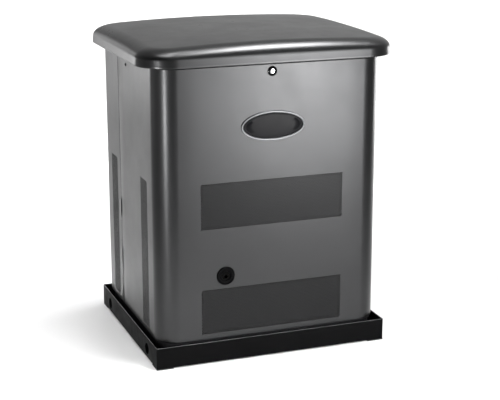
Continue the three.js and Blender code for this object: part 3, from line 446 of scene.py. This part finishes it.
def node_copy(node):
    """A new mesh with a CAD node's shape, its flat faces whole and its triangles paired into quads."""
    form = bmesh.new()
    form.from_mesh(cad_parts[node].data)
    bmesh.ops.remove_doubles(form, verts=form.verts, dist=0.01 * MM)
    bmesh.ops.dissolve_limit(form, angle_limit=FLAT_ANGLE, verts=form.verts, edges=form.edges)
    bmesh.ops.join_triangles(form, faces=form.faces, angle_face_threshold=PAIRING_ANGLE,
                             angle_shape_threshold=PAIRING_ANGLE)
    mesh = bpy.data.meshes.new(node + "_formed")
    form.to_mesh(mesh)
    form.free()
    return mesh


def round_edges(node, mat, body, width_mm):
    """Stands a copy of a CAD node with rounded edges in its place."""
    obj = add_mesh(node + "_formed", node_copy(node), mat, body)
    modify(obj, "BEVEL", width=width_mm * MM, segments=2, limit_method="ANGLE",
           angle_limit=BEVEL_ANGLE, harden_normals=False)
    bake_modifiers(obj, 35)
    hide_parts(node)


def round_off(node, mat):
    """Stands a copy of a turned or bent CAD node, with its facets smoothed away, in its place."""
    mesh = node_copy(node)

    def crease_corners(work):
        crease = work.edges.layers.float.new("crease_edge")
        for edge in work.edges:
            if not edge.is_manifold or edge.calc_face_angle(0) > CREASE_ANGLE:
                edge[crease] = 1

    rework(mesh, crease_corners)
    obj = add_mesh(node + "_formed", mesh, mat, "cabinet")
    modify(obj, "SUBSURF", levels=2, render_levels=2)
    bake_modifiers(obj, 35)
    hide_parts(node)


def rework(mesh, change):
    """Opens a mesh for a change and writes it back."""
    work = bmesh.new()
    work.from_mesh(mesh)
    change(work)
    work.to_mesh(mesh)
    work.free()


def weld(work, distance):
    bmesh.ops.remove_doubles(work, verts=work.verts, dist=distance)
    bmesh.ops.recalc_face_normals(work, faces=work.faces)


# ------------------------------------------------------------------ perforated wrap panels


def hole_field(columns, rows):
    """Points (u, v, depth) and faces of a punched sheet with staggered round holes, centred on zero.
    The sheet is columns and a half pitches wide, with half a cell of plain sheet at one end of each row."""
    sides = HOLE_SIDES
    width = (columns + 0.5) * PITCH
    outer = np.array([(1, 0), (1, 1), (0, 1), (-1, 1), (-1, 0), (-1, -1), (0, -1), (1, -1)], float)
    outer *= (PITCH / 2, ROW / 2)
    angles = TAU * (np.arange(sides) + 0.5) / sides
    inner = HOLE_RADIUS * np.stack([np.cos(angles), np.sin(angles)], 1)
    row, column = np.meshgrid(np.arange(rows), np.arange(columns), indexing="ij")
    centre_u = -width / 2 + (column + 0.5) * PITCH + (row % 2) * PITCH / 2
    centre_v = (row - (rows - 1) / 2) * ROW
    centres = np.stack([centre_u.ravel(), centre_v.ravel()], 1)
    count = len(centres)
    cells = np.zeros((count, 3 * sides, 3))
    cells[:, :sides, :2] = centres[:, None] + outer
    cells[:, sides:2 * sides, :2] = centres[:, None] + inner
    cells[:, 2 * sides:, :2] = centres[:, None] + inner
    cells[:, 2 * sides:, 2] = PANEL_SHEET
    k = np.arange(sides)
    n = (k + 1) % sides
    quads = np.concatenate([
        np.stack([k, n, sides + n, sides + k], 1),
        np.stack([sides + k, sides + n, 2 * sides + n, 2 * sides + k], 1),
    ])
    faces = (quads[None] + (np.arange(count) * 3 * sides)[:, None, None]).reshape(-1, 4)
    ends, end_faces = [], []
    for r in range(rows):
        low = (width / 2 - PITCH / 2) if r % 2 == 0 else -width / 2
        v = (r - (rows - 1) / 2) * ROW
        high = low + PITCH / 2
        below, over = v - ROW / 2, v + ROW / 2
        start = count * 3 * sides + len(ends)
        ends += [(low, below, 0), (high, below, 0), (high, v, 0),
                 (high, over, 0), (low, over, 0), (low, v, 0)]
        end_faces += [(start, start + 1, start + 2, start + 5), (start + 5, start + 2, start + 3, start + 4)]
    verts = np.concatenate([cells.reshape(-1, 3), np.array(ends, float)])
    return verts, np.concatenate([faces, np.array(end_faces)])


def field_object(name, columns, rows, place, node):
    """A punched field; place turns (u, v, depth) arrays into X, Y, Z."""
    local, faces = hole_field(columns, rows)
    verts = place(local[:, 0], local[:, 1], local[:, 2]) * MM
    mesh = bpy.data.meshes.new(name)
    mesh.vertices.add(len(verts))
    mesh.vertices.foreach_set("co", verts.astype(np.float32).ravel())
    mesh.loops.add(faces.size)
    mesh.loops.foreach_set("vertex_index", faces.astype(np.int32).ravel())
    mesh.polygons.add(len(faces))
    mesh.polygons.foreach_set("loop_start", np.arange(0, faces.size, 4, dtype=np.int32))
    mesh.update(calc_edges=True)
    mesh.validate()
    rework(mesh, lambda work: weld(work, 0.02 * MM))
    obj = add_mesh(name, mesh, PAINT, "cabinet", 50)
    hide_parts(node)


def build_painted_shade_sheets():
    """Thin black sheets that hang just inside the punched fields: painted shade, standing in for the shade
    inside the cabinet behind the holes.
    """
    c = CABINET
    front_w, front_h = field_size(FRONT_COLUMNS, FRONT_ROWS)
    side_w, side_h = field_size(SIDE_COLUMNS, SIDE_ROWS)
    margin, depth, thick = 2.5, 3.2, 2.5
    front = [(z, front_w / 2 + margin, front_h / 2 + margin) for z in FRONT_FIELDS_Z]
    for name, (z, half_w, half_h) in zip(("lower", "upper"), front):
        painted_shade_sheet(f"foam_front_{name}", half_w, half_h, thick,
                   lambda u, v, d, z=z: (u, -c["half_y"] + depth + d, v + z))
    for side, sx in (("left", -1), ("right", 1)):
        for end, y in (("front", SIDE_FIELD_FRONT_Y), ("rear", SIDE_FIELD_REAR_Y)):
            painted_shade_sheet(f"foam_{side}_{end}", side_w / 2 + margin, side_h / 2 + margin, thick,
                       lambda u, v, d, y=y, sx=sx: (sx * (c["half_x"] - depth - d), u + y, v + SIDE_FIELD_Z))


def painted_shade_sheet(name, half_w, half_h, thick, place):
    """A dark sheet of painted shade, with a softly uneven face and rounded edges."""
    nu, nv = max(4, int(half_w / 8)), max(4, int(half_h / 8))
    verts, faces = [], []
    for layer in (0, 1):
        for j in range(nv + 1):
            for i in range(nu + 1):
                u, v = half_w * (2 * i / nu - 1), half_h * (2 * j / nv - 1)
                edge = i in (0, nu) or j in (0, nv)
                wave = 0.35 * math.sin(u * 0.21) * math.cos(v * 0.17)
                face = 0.3 if layer == 0 else thick - 0.3
                verts.append(place(u, v, thick / 2 if edge else face + wave))
    size = (nu + 1) * (nv + 1)
    for layer in (0, 1):
        for j in range(nv):
            for i in range(nu):
                k = layer * size + j * (nu + 1) + i
                faces.append((k, k + 1, k + nu + 2, k + nu + 1))
    sheet = add_object(name, verts, faces, FOAM_AND_PAINTED_SHADE, "cabinet", 80)
    rework(sheet.data, lambda work: weld(work, 0.01 * MM))


def field_size(columns, rows):
    """Width and height of a punched field."""
    return (columns + 0.5) * PITCH, rows * ROW


def wrap_sheet(name, points, normals, cutouts, node):
    """A bent sheet along an open plan line. cutouts holds (plan test, z low, z high) for its openings."""
    c = CABINET
    fold = [(14, c["bottom"]), (4, c["bottom"])]
    for a in np.linspace(0.15, math.pi / 2, 6):
        fold.append((PANEL_FOLD * (1 - math.sin(a)), c["bottom"] + PANEL_FOLD * (1 - math.cos(a))))
    levels = sorted({z for _, low, high in cutouts for z in (low, high)} | set(np.linspace(110, 940, 15)))
    levels = [z for z in levels if z > c["bottom"] + 5]
    profile = fold + [(0, z) for z in levels] + [(0, c["top"])]
    verts = []
    for inset, z in profile:
        ring = points - normals * inset
        verts += [(x, y, z) for x, y in ring]
    around = len(points)
    faces = []
    for r in range(len(profile) - 1):
        z = (profile[r][1] + profile[r + 1][1]) / 2
        for i in range(around - 1):
            middle = (points[i] + points[i + 1]) / 2
            if any(inside(middle) and low < z < high for inside, low, high in cutouts):
                continue
            low_row, high_row = r * around + i, (r + 1) * around + i
            faces.append((low_row, low_row + 1, high_row + 1, high_row))
    obj = add_object(name, verts, faces, PAINT, "cabinet", 30)

    def drop_loose(work):
        loose = [v for v in work.verts if not v.link_faces]
        bmesh.ops.delete(work, geom=loose, context="VERTS")

    rework(obj.data, drop_loose)
    modify(obj, "SOLIDIFY", thickness=PANEL_SHEET * MM, offset=-1.0)
    bake_modifiers(obj, 30)
    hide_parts(node)


def between(axis, low, high, side=None):
    """A test for plan points on a flat wall: axis 0 for X, 1 for Y; side picks the left or right wall."""
    def test(p):
        if axis == 0:
            return low < p[0] < high and p[1] < -CABINET["half_y"] + 0.5
        return low < p[1] < high and p[0] * side > CABINET["half_x"] - 0.5
    return test


def breaks(points, normals, values, axis, wall):
    """Adds plan points on a wall at the given coordinates."""
    points, normals = list(map(tuple, points)), list(map(tuple, normals))
    for value in values:
        for i in range(len(points) - 1):
            a, b = points[i], points[i + 1]
            if wall(a) and wall(b) and (a[axis] - value) * (b[axis] - value) < 0:
                t = (value - a[axis]) / (b[axis] - a[axis])
                points.insert(i + 1, tuple(np.array(a) + (np.array(b) - np.array(a)) * t))
                normals.insert(i + 1, normals[i])
                break
    return np.array(points), np.array(normals)


def build_panels():
    c = CABINET
    points, normals = outline(c["half_x"], c["half_y"], c["front"], c["rear"], 20, 10)

    def on_front(p):
        return p[1] < -c["half_y"] + 0.01

    def on_left(p):
        return p[0] < -c["half_x"] + 0.01

    def on_right(p):
        return p[0] > c["half_x"] - 0.01

    front_w, front_h = field_size(FRONT_COLUMNS, FRONT_ROWS)
    side_w, side_h = field_size(SIDE_COLUMNS, SIDE_ROWS)
    port_x = (PORT[0] - PORT_OPENING, PORT[0] + PORT_OPENING)
    port_z = (PORT[1] - PORT_OPENING, PORT[1] + PORT_OPENING)
    lock_x = (LOCK[0] - LOCK_OPENING, LOCK[0] + LOCK_OPENING)
    lock_z = (LOCK[1] - LOCK_OPENING, LOCK[1] + LOCK_OPENING)
    front_values = [-front_w / 2, front_w / 2, *port_x, *lock_x]
    points, normals = breaks(points, normals, front_values, 0, on_front)
    side_values = [SEAM_Y - SEAM_HALF, SEAM_Y + SEAM_HALF]
    for y in (SIDE_FIELD_FRONT_Y, SIDE_FIELD_REAR_Y):
        side_values += [y - side_w / 2, y + side_w / 2]
    for wall in (on_left, on_right):
        points, normals = breaks(points, normals, side_values, 1, wall)

    across_front = between(0, -front_w / 2, front_w / 2)
    cutouts = [(across_front, z - front_h / 2, z + front_h / 2) for z in FRONT_FIELDS_Z]
    cutouts.append((between(0, *port_x), *port_z))
    cutouts.append((between(0, *lock_x), *lock_z))
    for y in (SIDE_FIELD_FRONT_Y, SIDE_FIELD_REAR_Y):
        for side in (-1, 1):
            cutouts.append((between(1, y - side_w / 2, y + side_w / 2, side),
                            SIDE_FIELD_Z - side_h / 2, SIDE_FIELD_Z + side_h / 2))

    before = points[:, 1] < SEAM_Y - SEAM_HALF + 0.01
    front_points, front_normals = points[before], normals[before]
    wrap_sheet("front_panel_sheet", *fold_ends(front_points, front_normals, 1), cutouts, "front_panel")
    behind = points[:, 1] > SEAM_Y + SEAM_HALF - 0.01
    order = np.where(behind)[0]
    split = np.where(np.diff(order) > 1)[0][0] + 1
    order = np.concatenate([order[split:], order[:split]])
    rear_points, rear_normals = points[order], normals[order]
    wrap_sheet("rear_panel_sheet", *fold_ends(rear_points, rear_normals, -1), cutouts, "rear_panel")

    front = -c["half_y"]
    for name, z in zip(("lower", "upper"), FRONT_FIELDS_Z):
        field_object(f"front_holes_{name}", FRONT_COLUMNS, FRONT_ROWS,
                     lambda u, v, d, z=z: np.stack([u, front + d, v + z], 1), "front_panel")
    ends = (("front", SIDE_FIELD_FRONT_Y), ("rear", SIDE_FIELD_REAR_Y))
    for side, sx in (("left", -1), ("right", 1)):
        for end, y in ends:
            field_object(
                f"side_holes_{side}_{end}", SIDE_COLUMNS, SIDE_ROWS,
                lambda u, v, d, y=y, sx=sx: np.stack([sx * (c["half_x"] - d), u + y, v + SIDE_FIELD_Z], 1),
                f"{end}_panel",
            )


def fold_ends(points, normals, direction):
    """Turns the two side edges of a panel inwards with a small bend, so that the seam has rounded edges."""
    radius, flange = 1.6, 9.0
    result = []
    for end in (0, -1):
        p, n = points[end], normals[end]
        along = np.array([0.0, float(direction)])
        bend_points, bend_normals = [], []
        for a in np.linspace(0, math.pi / 2, 6):
            centre = p - along * radius - n * radius
            normal = n * math.cos(a) + along * math.sin(a)
            bend_points.append(centre + normal * radius)
            bend_normals.append(normal)
        bend_points.append(p - n * (radius + flange))
        bend_normals.append(along)
        result.append((bend_points, bend_normals))
    (first_p, first_n), (last_p, last_n) = result
    all_points = np.array(first_p[::-1] + list(points[1:-1]) + last_p)
    all_normals = np.array(first_n[::-1] + list(normals[1:-1]) + last_n)
    return all_points, all_normals


# ------------------------------------------------------------------ lid


def lid_height(x, y, inset):
    """Height over the lid's bottom edge at a plan point that lies inset from the outline."""
    g = LID
    crown = g["crown_x"] * (1 - (x / g["half_x"]) ** 2) + g["crown_y"] * (1 - (y / g["half_y"]) ** 2)
    full = g["edge"] + crown
    reach = np.minimum(inset / g["rounding"], 1)
    return g["lip"] + (full - g["lip"]) * np.sqrt(np.maximum(0, 1 - (1 - reach) ** 2))


def build_lid():
    """Rings of points from the inside of the lip, under it, up its drafted side and over the crown."""
    g = LID
    points, normals = outline(g["half_x"], g["half_y"], g["radius"], g["radius"], 24, 12)
    rings = []
    bottom = g["bottom"]
    draft = g["draft"]
    lip = [(3.2, 4), (2.4, 1.2), (1.4, 0.2), (0.5, 0.3), (0, 1.5), (draft * 0.25, 6), (draft * 0.6, 14),
           (draft, g["lip"])]
    for inset, rise in lip:
        ring = points - normals * inset
        rings.append(np.column_stack([ring, np.full(len(ring), bottom + rise)]))
    for t in np.linspace(0, math.pi / 2, 22)[1:]:
        inset = g["rounding"] * (1 - math.cos(t))
        ring = points - normals * (draft + inset * (1 - draft / g["rounding"]))
        rings.append(np.column_stack([ring, bottom + lid_height(ring[:, 0], ring[:, 1], inset)]))
    edge = points - normals * g["rounding"]
    for shrink in (0.97, 0.92, 0.84, 0.74, 0.62, 0.5, 0.38, 0.26, 0.14, 0.05):
        ring = edge * shrink
        rings.append(np.column_stack([ring, bottom + lid_height(ring[:, 0], ring[:, 1], g["rounding"])]))
    around = len(points)
    crown = (0, 0, bottom + lid_height(0, 0, g["rounding"]))
    verts = np.concatenate(rings + [[crown]])
    faces = grid_faces(len(rings), around)
    last_ring = (len(rings) - 1) * around
    faces += [(last_ring + i, last_ring + (i + 1) % around, len(verts) - 1) for i in range(around)]
    lid = add_object("lid_moulding", verts, faces, LID_PAINT, "lid", 60)
    modify(lid, "SOLIDIFY", thickness=LID_SHEET * MM, offset=-1.0)
    bake_modifiers(lid, 60)
    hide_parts("lid")


# ------------------------------------------------------------------ trim on the front


def build_lock():
    front = -CABINET["half_y"]
    centre = (LOCK[0], front, LOCK[1])
    ring = [(10.4, -3), (10.4, 1.5), (10.8, 2.6), (12, 3.4), (13.6, 3.2), (15.2, 2.1), (15.9, 0.8),
            (16, -0.2), (15.5, -0.3), (10.4, -0.3)]
    bezel = lathe("lock_escutcheon", ring, centre, (0, -1, 0), TRIM_BLACK, "cabinet", 64)
    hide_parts("lock_bezel")
    barrel = [(0, -25), (9.6, -25), (9.6, 0.2), (9.3, 1.2), (8.4, 1.9), (7.2, 2.2), (4.5, 2.5), (0, 2.7)]
    core = lathe("lock_core", barrel, centre, (0, -1, 0), CHROME, "lock", 64, 50)
    bpy.ops.mesh.primitive_cube_add(size=1, location=(LOCK[0] * MM, front * MM, LOCK[1] * MM))
    slot = bpy.context.object
    slot.scale = (1.7 * MM, 9 * MM, 8 * MM)
    modify(core, "BOOLEAN", operation="DIFFERENCE", object=slot, solver="EXACT")
    bake_modifiers(core, 50)
    bpy.data.objects.remove(slot)
    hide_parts("lock_cylinder")


def ellipse_sweep(name, profile, half, centre, mat, body):
    """Sweeps (outward offset, height) points along an ellipse standing in the XZ plane."""
    half_x, half_z = half
    verts = []
    for offset, height in profile:
        for i in range(BADGE_STEPS):
            a = TAU * i / BADGE_STEPS
            normal = np.array([math.cos(a) / half_x, math.sin(a) / half_z])
            normal /= np.linalg.norm(normal)
            verts.append((centre[0] + half_x * math.cos(a) + normal[0] * offset, centre[1] - height,
                          centre[2] + half_z * math.sin(a) + normal[1] * offset))
    obj = add_object(name, verts, grid_faces(len(profile), BADGE_STEPS), mat, body, 50)
    rework(obj.data, lambda work: bmesh.ops.recalc_face_normals(work, faces=work.faces))
    return obj


def build_badge():
    centre = (0, -CABINET["half_y"] - 0.3, BADGE_Z)
    profile = [(0, 0), (0, 2.2), (-0.8, 3.4), (-2.2, 4.0), (-4.0, 4.0), (-5.6, 3.3), (-6.6, 2.0), (-6.8, 0)]
    rim = ellipse_sweep("badge_rim_formed", profile, BADGE_HALF, centre, BADGE_SILVER, "cabinet")
    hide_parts("badge_rim")

    # The field has a fine groove near its edge and swells gently to the middle.
    verts, steps = [], BADGE_STEPS
    half_x, half_z = BADGE_FIELD_HALF
    rings = [(1, 0), (1, 1.4), (0.985, 1.9), (0.93, 2.0), (0.92, 1.4), (0.9, 1.4), (0.89, 2.0), (0.7, 2.5),
             (0.4, 2.9), (0.15, 3.0)]
    for shrink, height in rings:
        for i in range(steps):
            a = TAU * i / steps
            x, z = half_x * shrink * math.cos(a), half_z * shrink * math.sin(a)
            verts.append((x, centre[1] - height, BADGE_Z + z))
    last_ring = (len(rings) - 1) * steps
    faces = grid_faces(len(rings), steps) + [tuple(range(last_ring, last_ring + steps))]
    plate = add_object("badge_field", verts, faces, BADGE_BLACK, "cabinet", 40)
    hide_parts("badge_plate")


def build_port():
    centre = (PORT[0], -CABINET["half_y"], PORT[1])
    sleeve_end = [(22.6, -0.2), (22.6, -5.5), (15.6, -5.5)]
    inner_bead = [(15.6, -12), (15.6, 2.6), (16.4, 3.6), (18, 4), (19.4, 3.2), (20.4, 2.2)]
    outer_bead = [(25, 2.2), (26.2, 3.2), (27.4, 4.3), (29, 4.5), (30.4, 3.4), (31, 1.6), (31, 0),
                  (30.2, -0.2)]
    profile = inner_bead + outer_bead + sleeve_end
    bezel = lathe("exhaust_port_ring", profile, centre, (0, -1, 0), TRIM_BLACK, "cabinet", 72)
    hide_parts("exhaust_bezel")


def build_screws():
    head = [(0, 0.2), (1.6, 0.4), (1.9, 1.6), (2.6, 2.6), (4.6, 2.2), (5.6, 1.2), (5.9, 0), (5.9, -0.2)]
    for side, sx in (("left", -1), ("right", 1)):
        centre = (sx * CABINET["half_x"], SCREW_Y, SCREW_Z)
        screw = lathe(f"panel_screw_{side}", head, centre, (sx, 0, 0), SCREW_BLACK, "cabinet", 32)


# ------------------------------------------------------------------ inside the cabinet

# Cast, moulded and bent pieces. Node: material, body, edge rounding in mm.
ROUNDED_EDGES = {
    "air_filter_box": (HOUSING_BLACK, "cabinet", 6),
    "battery": (BATTERY_BLACK, "cabinet", 3),
    "battery_strap": (ZINC, "cabinet", 0.8),
    "control_box": (BOX_GREY, "cabinet", 1),
    "control_face": (FACE_GREY, "cabinet", 1.2),
    "valve_cover_left": (BOX_GREY, "cabinet", 6),
    "valve_cover_right": (BOX_GREY, "cabinet", 6),
    "carburettor": (DIE_CAST, "cabinet", 2.5),
    "gas_regulator": (DIE_CAST, "cabinet", 2.5),
    "crankcase": (CAST_ALUMINIUM, "cabinet", 2),
    "engine_cradle": (INNER_PAINT, "cabinet", 1.5),
    "utility_plate": (PAINT, "cabinet", 0.8),
    "mode_switch": (SWITCH_RED, "mode_switch", 1.2),
    "breaker_lever": (BATTERY_BLACK, "breaker_lever", 1),
}

# Turned and bent round pieces. Node: material.
ROUNDED_OFF = {
    "gas_hose": HOSE_RUBBER,
    "gas_inlet_pipe": PIPE_YELLOW,
    "battery_cable": CABLE_RED,
    "tailpipe": NEAR_BLACK_STEEL,
    "muffler": ALUMINISED,
    "oil_filter": FILTER_BLUE,
    "starter_motor": BOX_GREY,
    "blower_housing": HOUSING_BLACK,
    "cylinder_left": CAST_ALUMINIUM,
    "cylinder_right": CAST_ALUMINIUM,
    "alternator_stator": LAMINATIONS,
    "dipstick_tube": ZINC,
}


def build_interior():
    for node, (mat, body, width) in ROUNDED_EDGES.items():
        round_edges(node, mat, body, width)
    for node, mat in ROUNDED_OFF.items():
        round_off(node, mat)


# ------------------------------------------------------------------ stage

# The sky brightens from the front and the left towards the back and the right.
SKY_BACK = 0.31
SKY_RIGHT = 0.33
SKY_START = -0.2
SKY_FULL = 0.7
FLOOR_SIZE = 60
FLOOR_COLOR = (0.82, 0.82, 0.82)

# Metres and degrees
CAMERA_PLACE = (-1.493, -4.121, 1.638)
CAMERA_DOWN = 15.26
CAMERA_TURN = -20.47
SENSOR = 36
FOCAL = 94.73


def standing(azimuth, distance, low, high, width, radiance):
    """A card that stands facing the object: azimuth 0 is in front, negative to the left."""
    a = math.radians(azimuth)
    z = (low + high) / 2
    return ((distance * math.sin(a), -distance * math.cos(a), z), (0, 0, z), width, high - low, radiance, 180)


def above(x, y, z, width, depth, radiance, spread=180):
    """A card overhead that faces straight down."""
    return ((x, y, z), (x, y, 0), width, depth, radiance, spread)


# Name: location, target, width, height, radiance, spread. Metres and degrees.
LIGHTS = {
    "front_card": standing(22, 2.6, 0.3, 0.88, 0.56, 28),
    "front_card_foot": standing(22, 2.6, 0.02, 0.3, 0.56, 11),
    "front_card_head": standing(22, 2.6, 0.9, 1.6, 0.56, 7),
    "front_card_edge": standing(13.5, 2.6, 0.02, 0.6, 0.24, 3),
    "front_card_wide": standing(22, 2.6, 0.62, 1.0, 0.9, 7),
    "left_card": standing(-146, 2.9, 0.35, 0.85, 0.7, 5),
    "left_card_foot": standing(-146, 2.9, 0.02, 0.3, 0.7, 0.8),
    "left_card_head": standing(-156, 2.9, 0.75, 2.0, 0.61, 1.3),
    "strip": standing(-51, 2.2, 0.28, 0.85, 0.3, 36),
    "strip_foot": standing(-51, 2.2, 0.02, 0.28, 0.3, 8),
    "lid_strip": ((0.6, -0.42, 2.6), (0.05, -0.35, 1.0), 2.4, 0.5, 2.6, 42),
    "overhead_front": above(0, -1.6, 3.1, 2.0, 1.6, 0.6),
    "overhead_right": above(2.0, -0.4, 3.1, 2.0, 0.8, 1.0),
    "floor_front_right": above(0.5, -0.9, 2.6, 0.9, 0.9, 2.0, 45),
    "floor_left": above(-0.95, 0.1, 2.6, 0.9, 1.4, 0.95, 45),
    "floor_front_left": above(-0.6, -0.75, 2.6, 0.8, 0.8, 1.2, 45),
    "floor_left_back": above(-0.7, 1.4, 2.6, 1.0, 1.2, 0.55, 45),
    "floor_right": above(1.4, 0.8, 2.6, 1.4, 1.4, 1.1, 60),
    "floor_behind": above(0.95, 2.5, 3.2, 2.4, 2.0, 2.2, 70),
    "right_card": standing(112, 3.0, 0.1, 0.9, 1.0, 5),
    "rear_card": standing(172, 3.2, 0.1, 0.9, 1.2, 4.5),
    "rear_card_left": standing(-112, 3.4, 0.1, 0.6, 0.5, 2),
    "inside": above(0.05, 0.1, 3.1, 0.6, 0.5, 2.4, 45),
    "floor_right_wide": above(2.6, 0.5, 3.0, 1.4, 1.0, 1.2, 60),
    "floor_front_far": above(-1.0, -8.0, 4.2, 7.0, 3.0, 1.6, 90),
    "floor_left_far": above(-7.0, -1.0, 4.2, 3.0, 7.0, 1.6, 90),
    "floor_far": above(2.4, 5.0, 4.2, 7.5, 2.8, 2.2, 90),
    "floor_farther": above(3.0, 9.0, 4.2, 7.0, 3.5, 2.2, 75),
}


def build_stage():
    bpy.ops.mesh.primitive_plane_add(size=FLOOR_SIZE, location=(0, 0, 0))
    floor = bpy.context.object
    floor.name = "floor"
    floor.data.materials.append(new_material("floor_pale", FLOOR_COLOR, 0.9))

    world = bpy.data.worlds.new("studio")
    world.use_nodes = True
    tree = world.node_tree
    background = tree.nodes["Background"]
    coords = tree.nodes.new("ShaderNodeTexCoord")
    split = tree.nodes.new("ShaderNodeSeparateXYZ")
    link(tree, coords.outputs["Generated"], split.inputs["Vector"])
    total = tree.nodes.new("ShaderNodeMath")
    total.operation = "ADD"
    link(tree, ramp(tree, split.outputs["Y"], 0, SKY_BACK, SKY_START, SKY_FULL), total.inputs[0])
    link(tree, ramp(tree, split.outputs["X"], 0, SKY_RIGHT, SKY_START, SKY_FULL), total.inputs[1])
    link(tree, total.outputs[0], background.inputs["Strength"])
    background.inputs["Color"].default_value = (1, 1, 1, 1)
    bpy.context.scene.world = world
    bpy.context.scene.view_settings.view_transform = "Standard"

    for name, (location, target, width, height, radiance, spread) in LIGHTS.items():
        data = bpy.data.lights.new(name, "AREA")
        data.shape = "RECTANGLE"
        data.size, data.size_y = width, height
        data.energy = radiance * math.pi * width * height
        data.spread = math.radians(spread)
        obj = bpy.data.objects.new(name, data)
        obj.location = location
        obj.rotation_euler = (Vector(target) - Vector(location)).to_track_quat("-Z", "Y").to_euler()
        obj.visible_camera = False
        bpy.context.scene.collection.objects.link(obj)


def build_camera():
    data = bpy.data.cameras.new("camera")
    data.sensor_width = SENSOR
    data.lens = FOCAL
    data.clip_end = 100
    obj = bpy.data.objects.new("camera", data)
    obj.location = CAMERA_PLACE
    obj.rotation_euler = (math.radians(90 - CAMERA_DOWN), 0, math.radians(CAMERA_TURN))
    bpy.context.scene.collection.objects.link(obj)
    bpy.context.scene.camera = obj


dress_nodes()
build_interior()
build_tray()
build_panels()
build_painted_shade_sheets()
build_lid()
build_lock()
build_badge()
build_port()
build_screws()
build_stage()
build_camera()
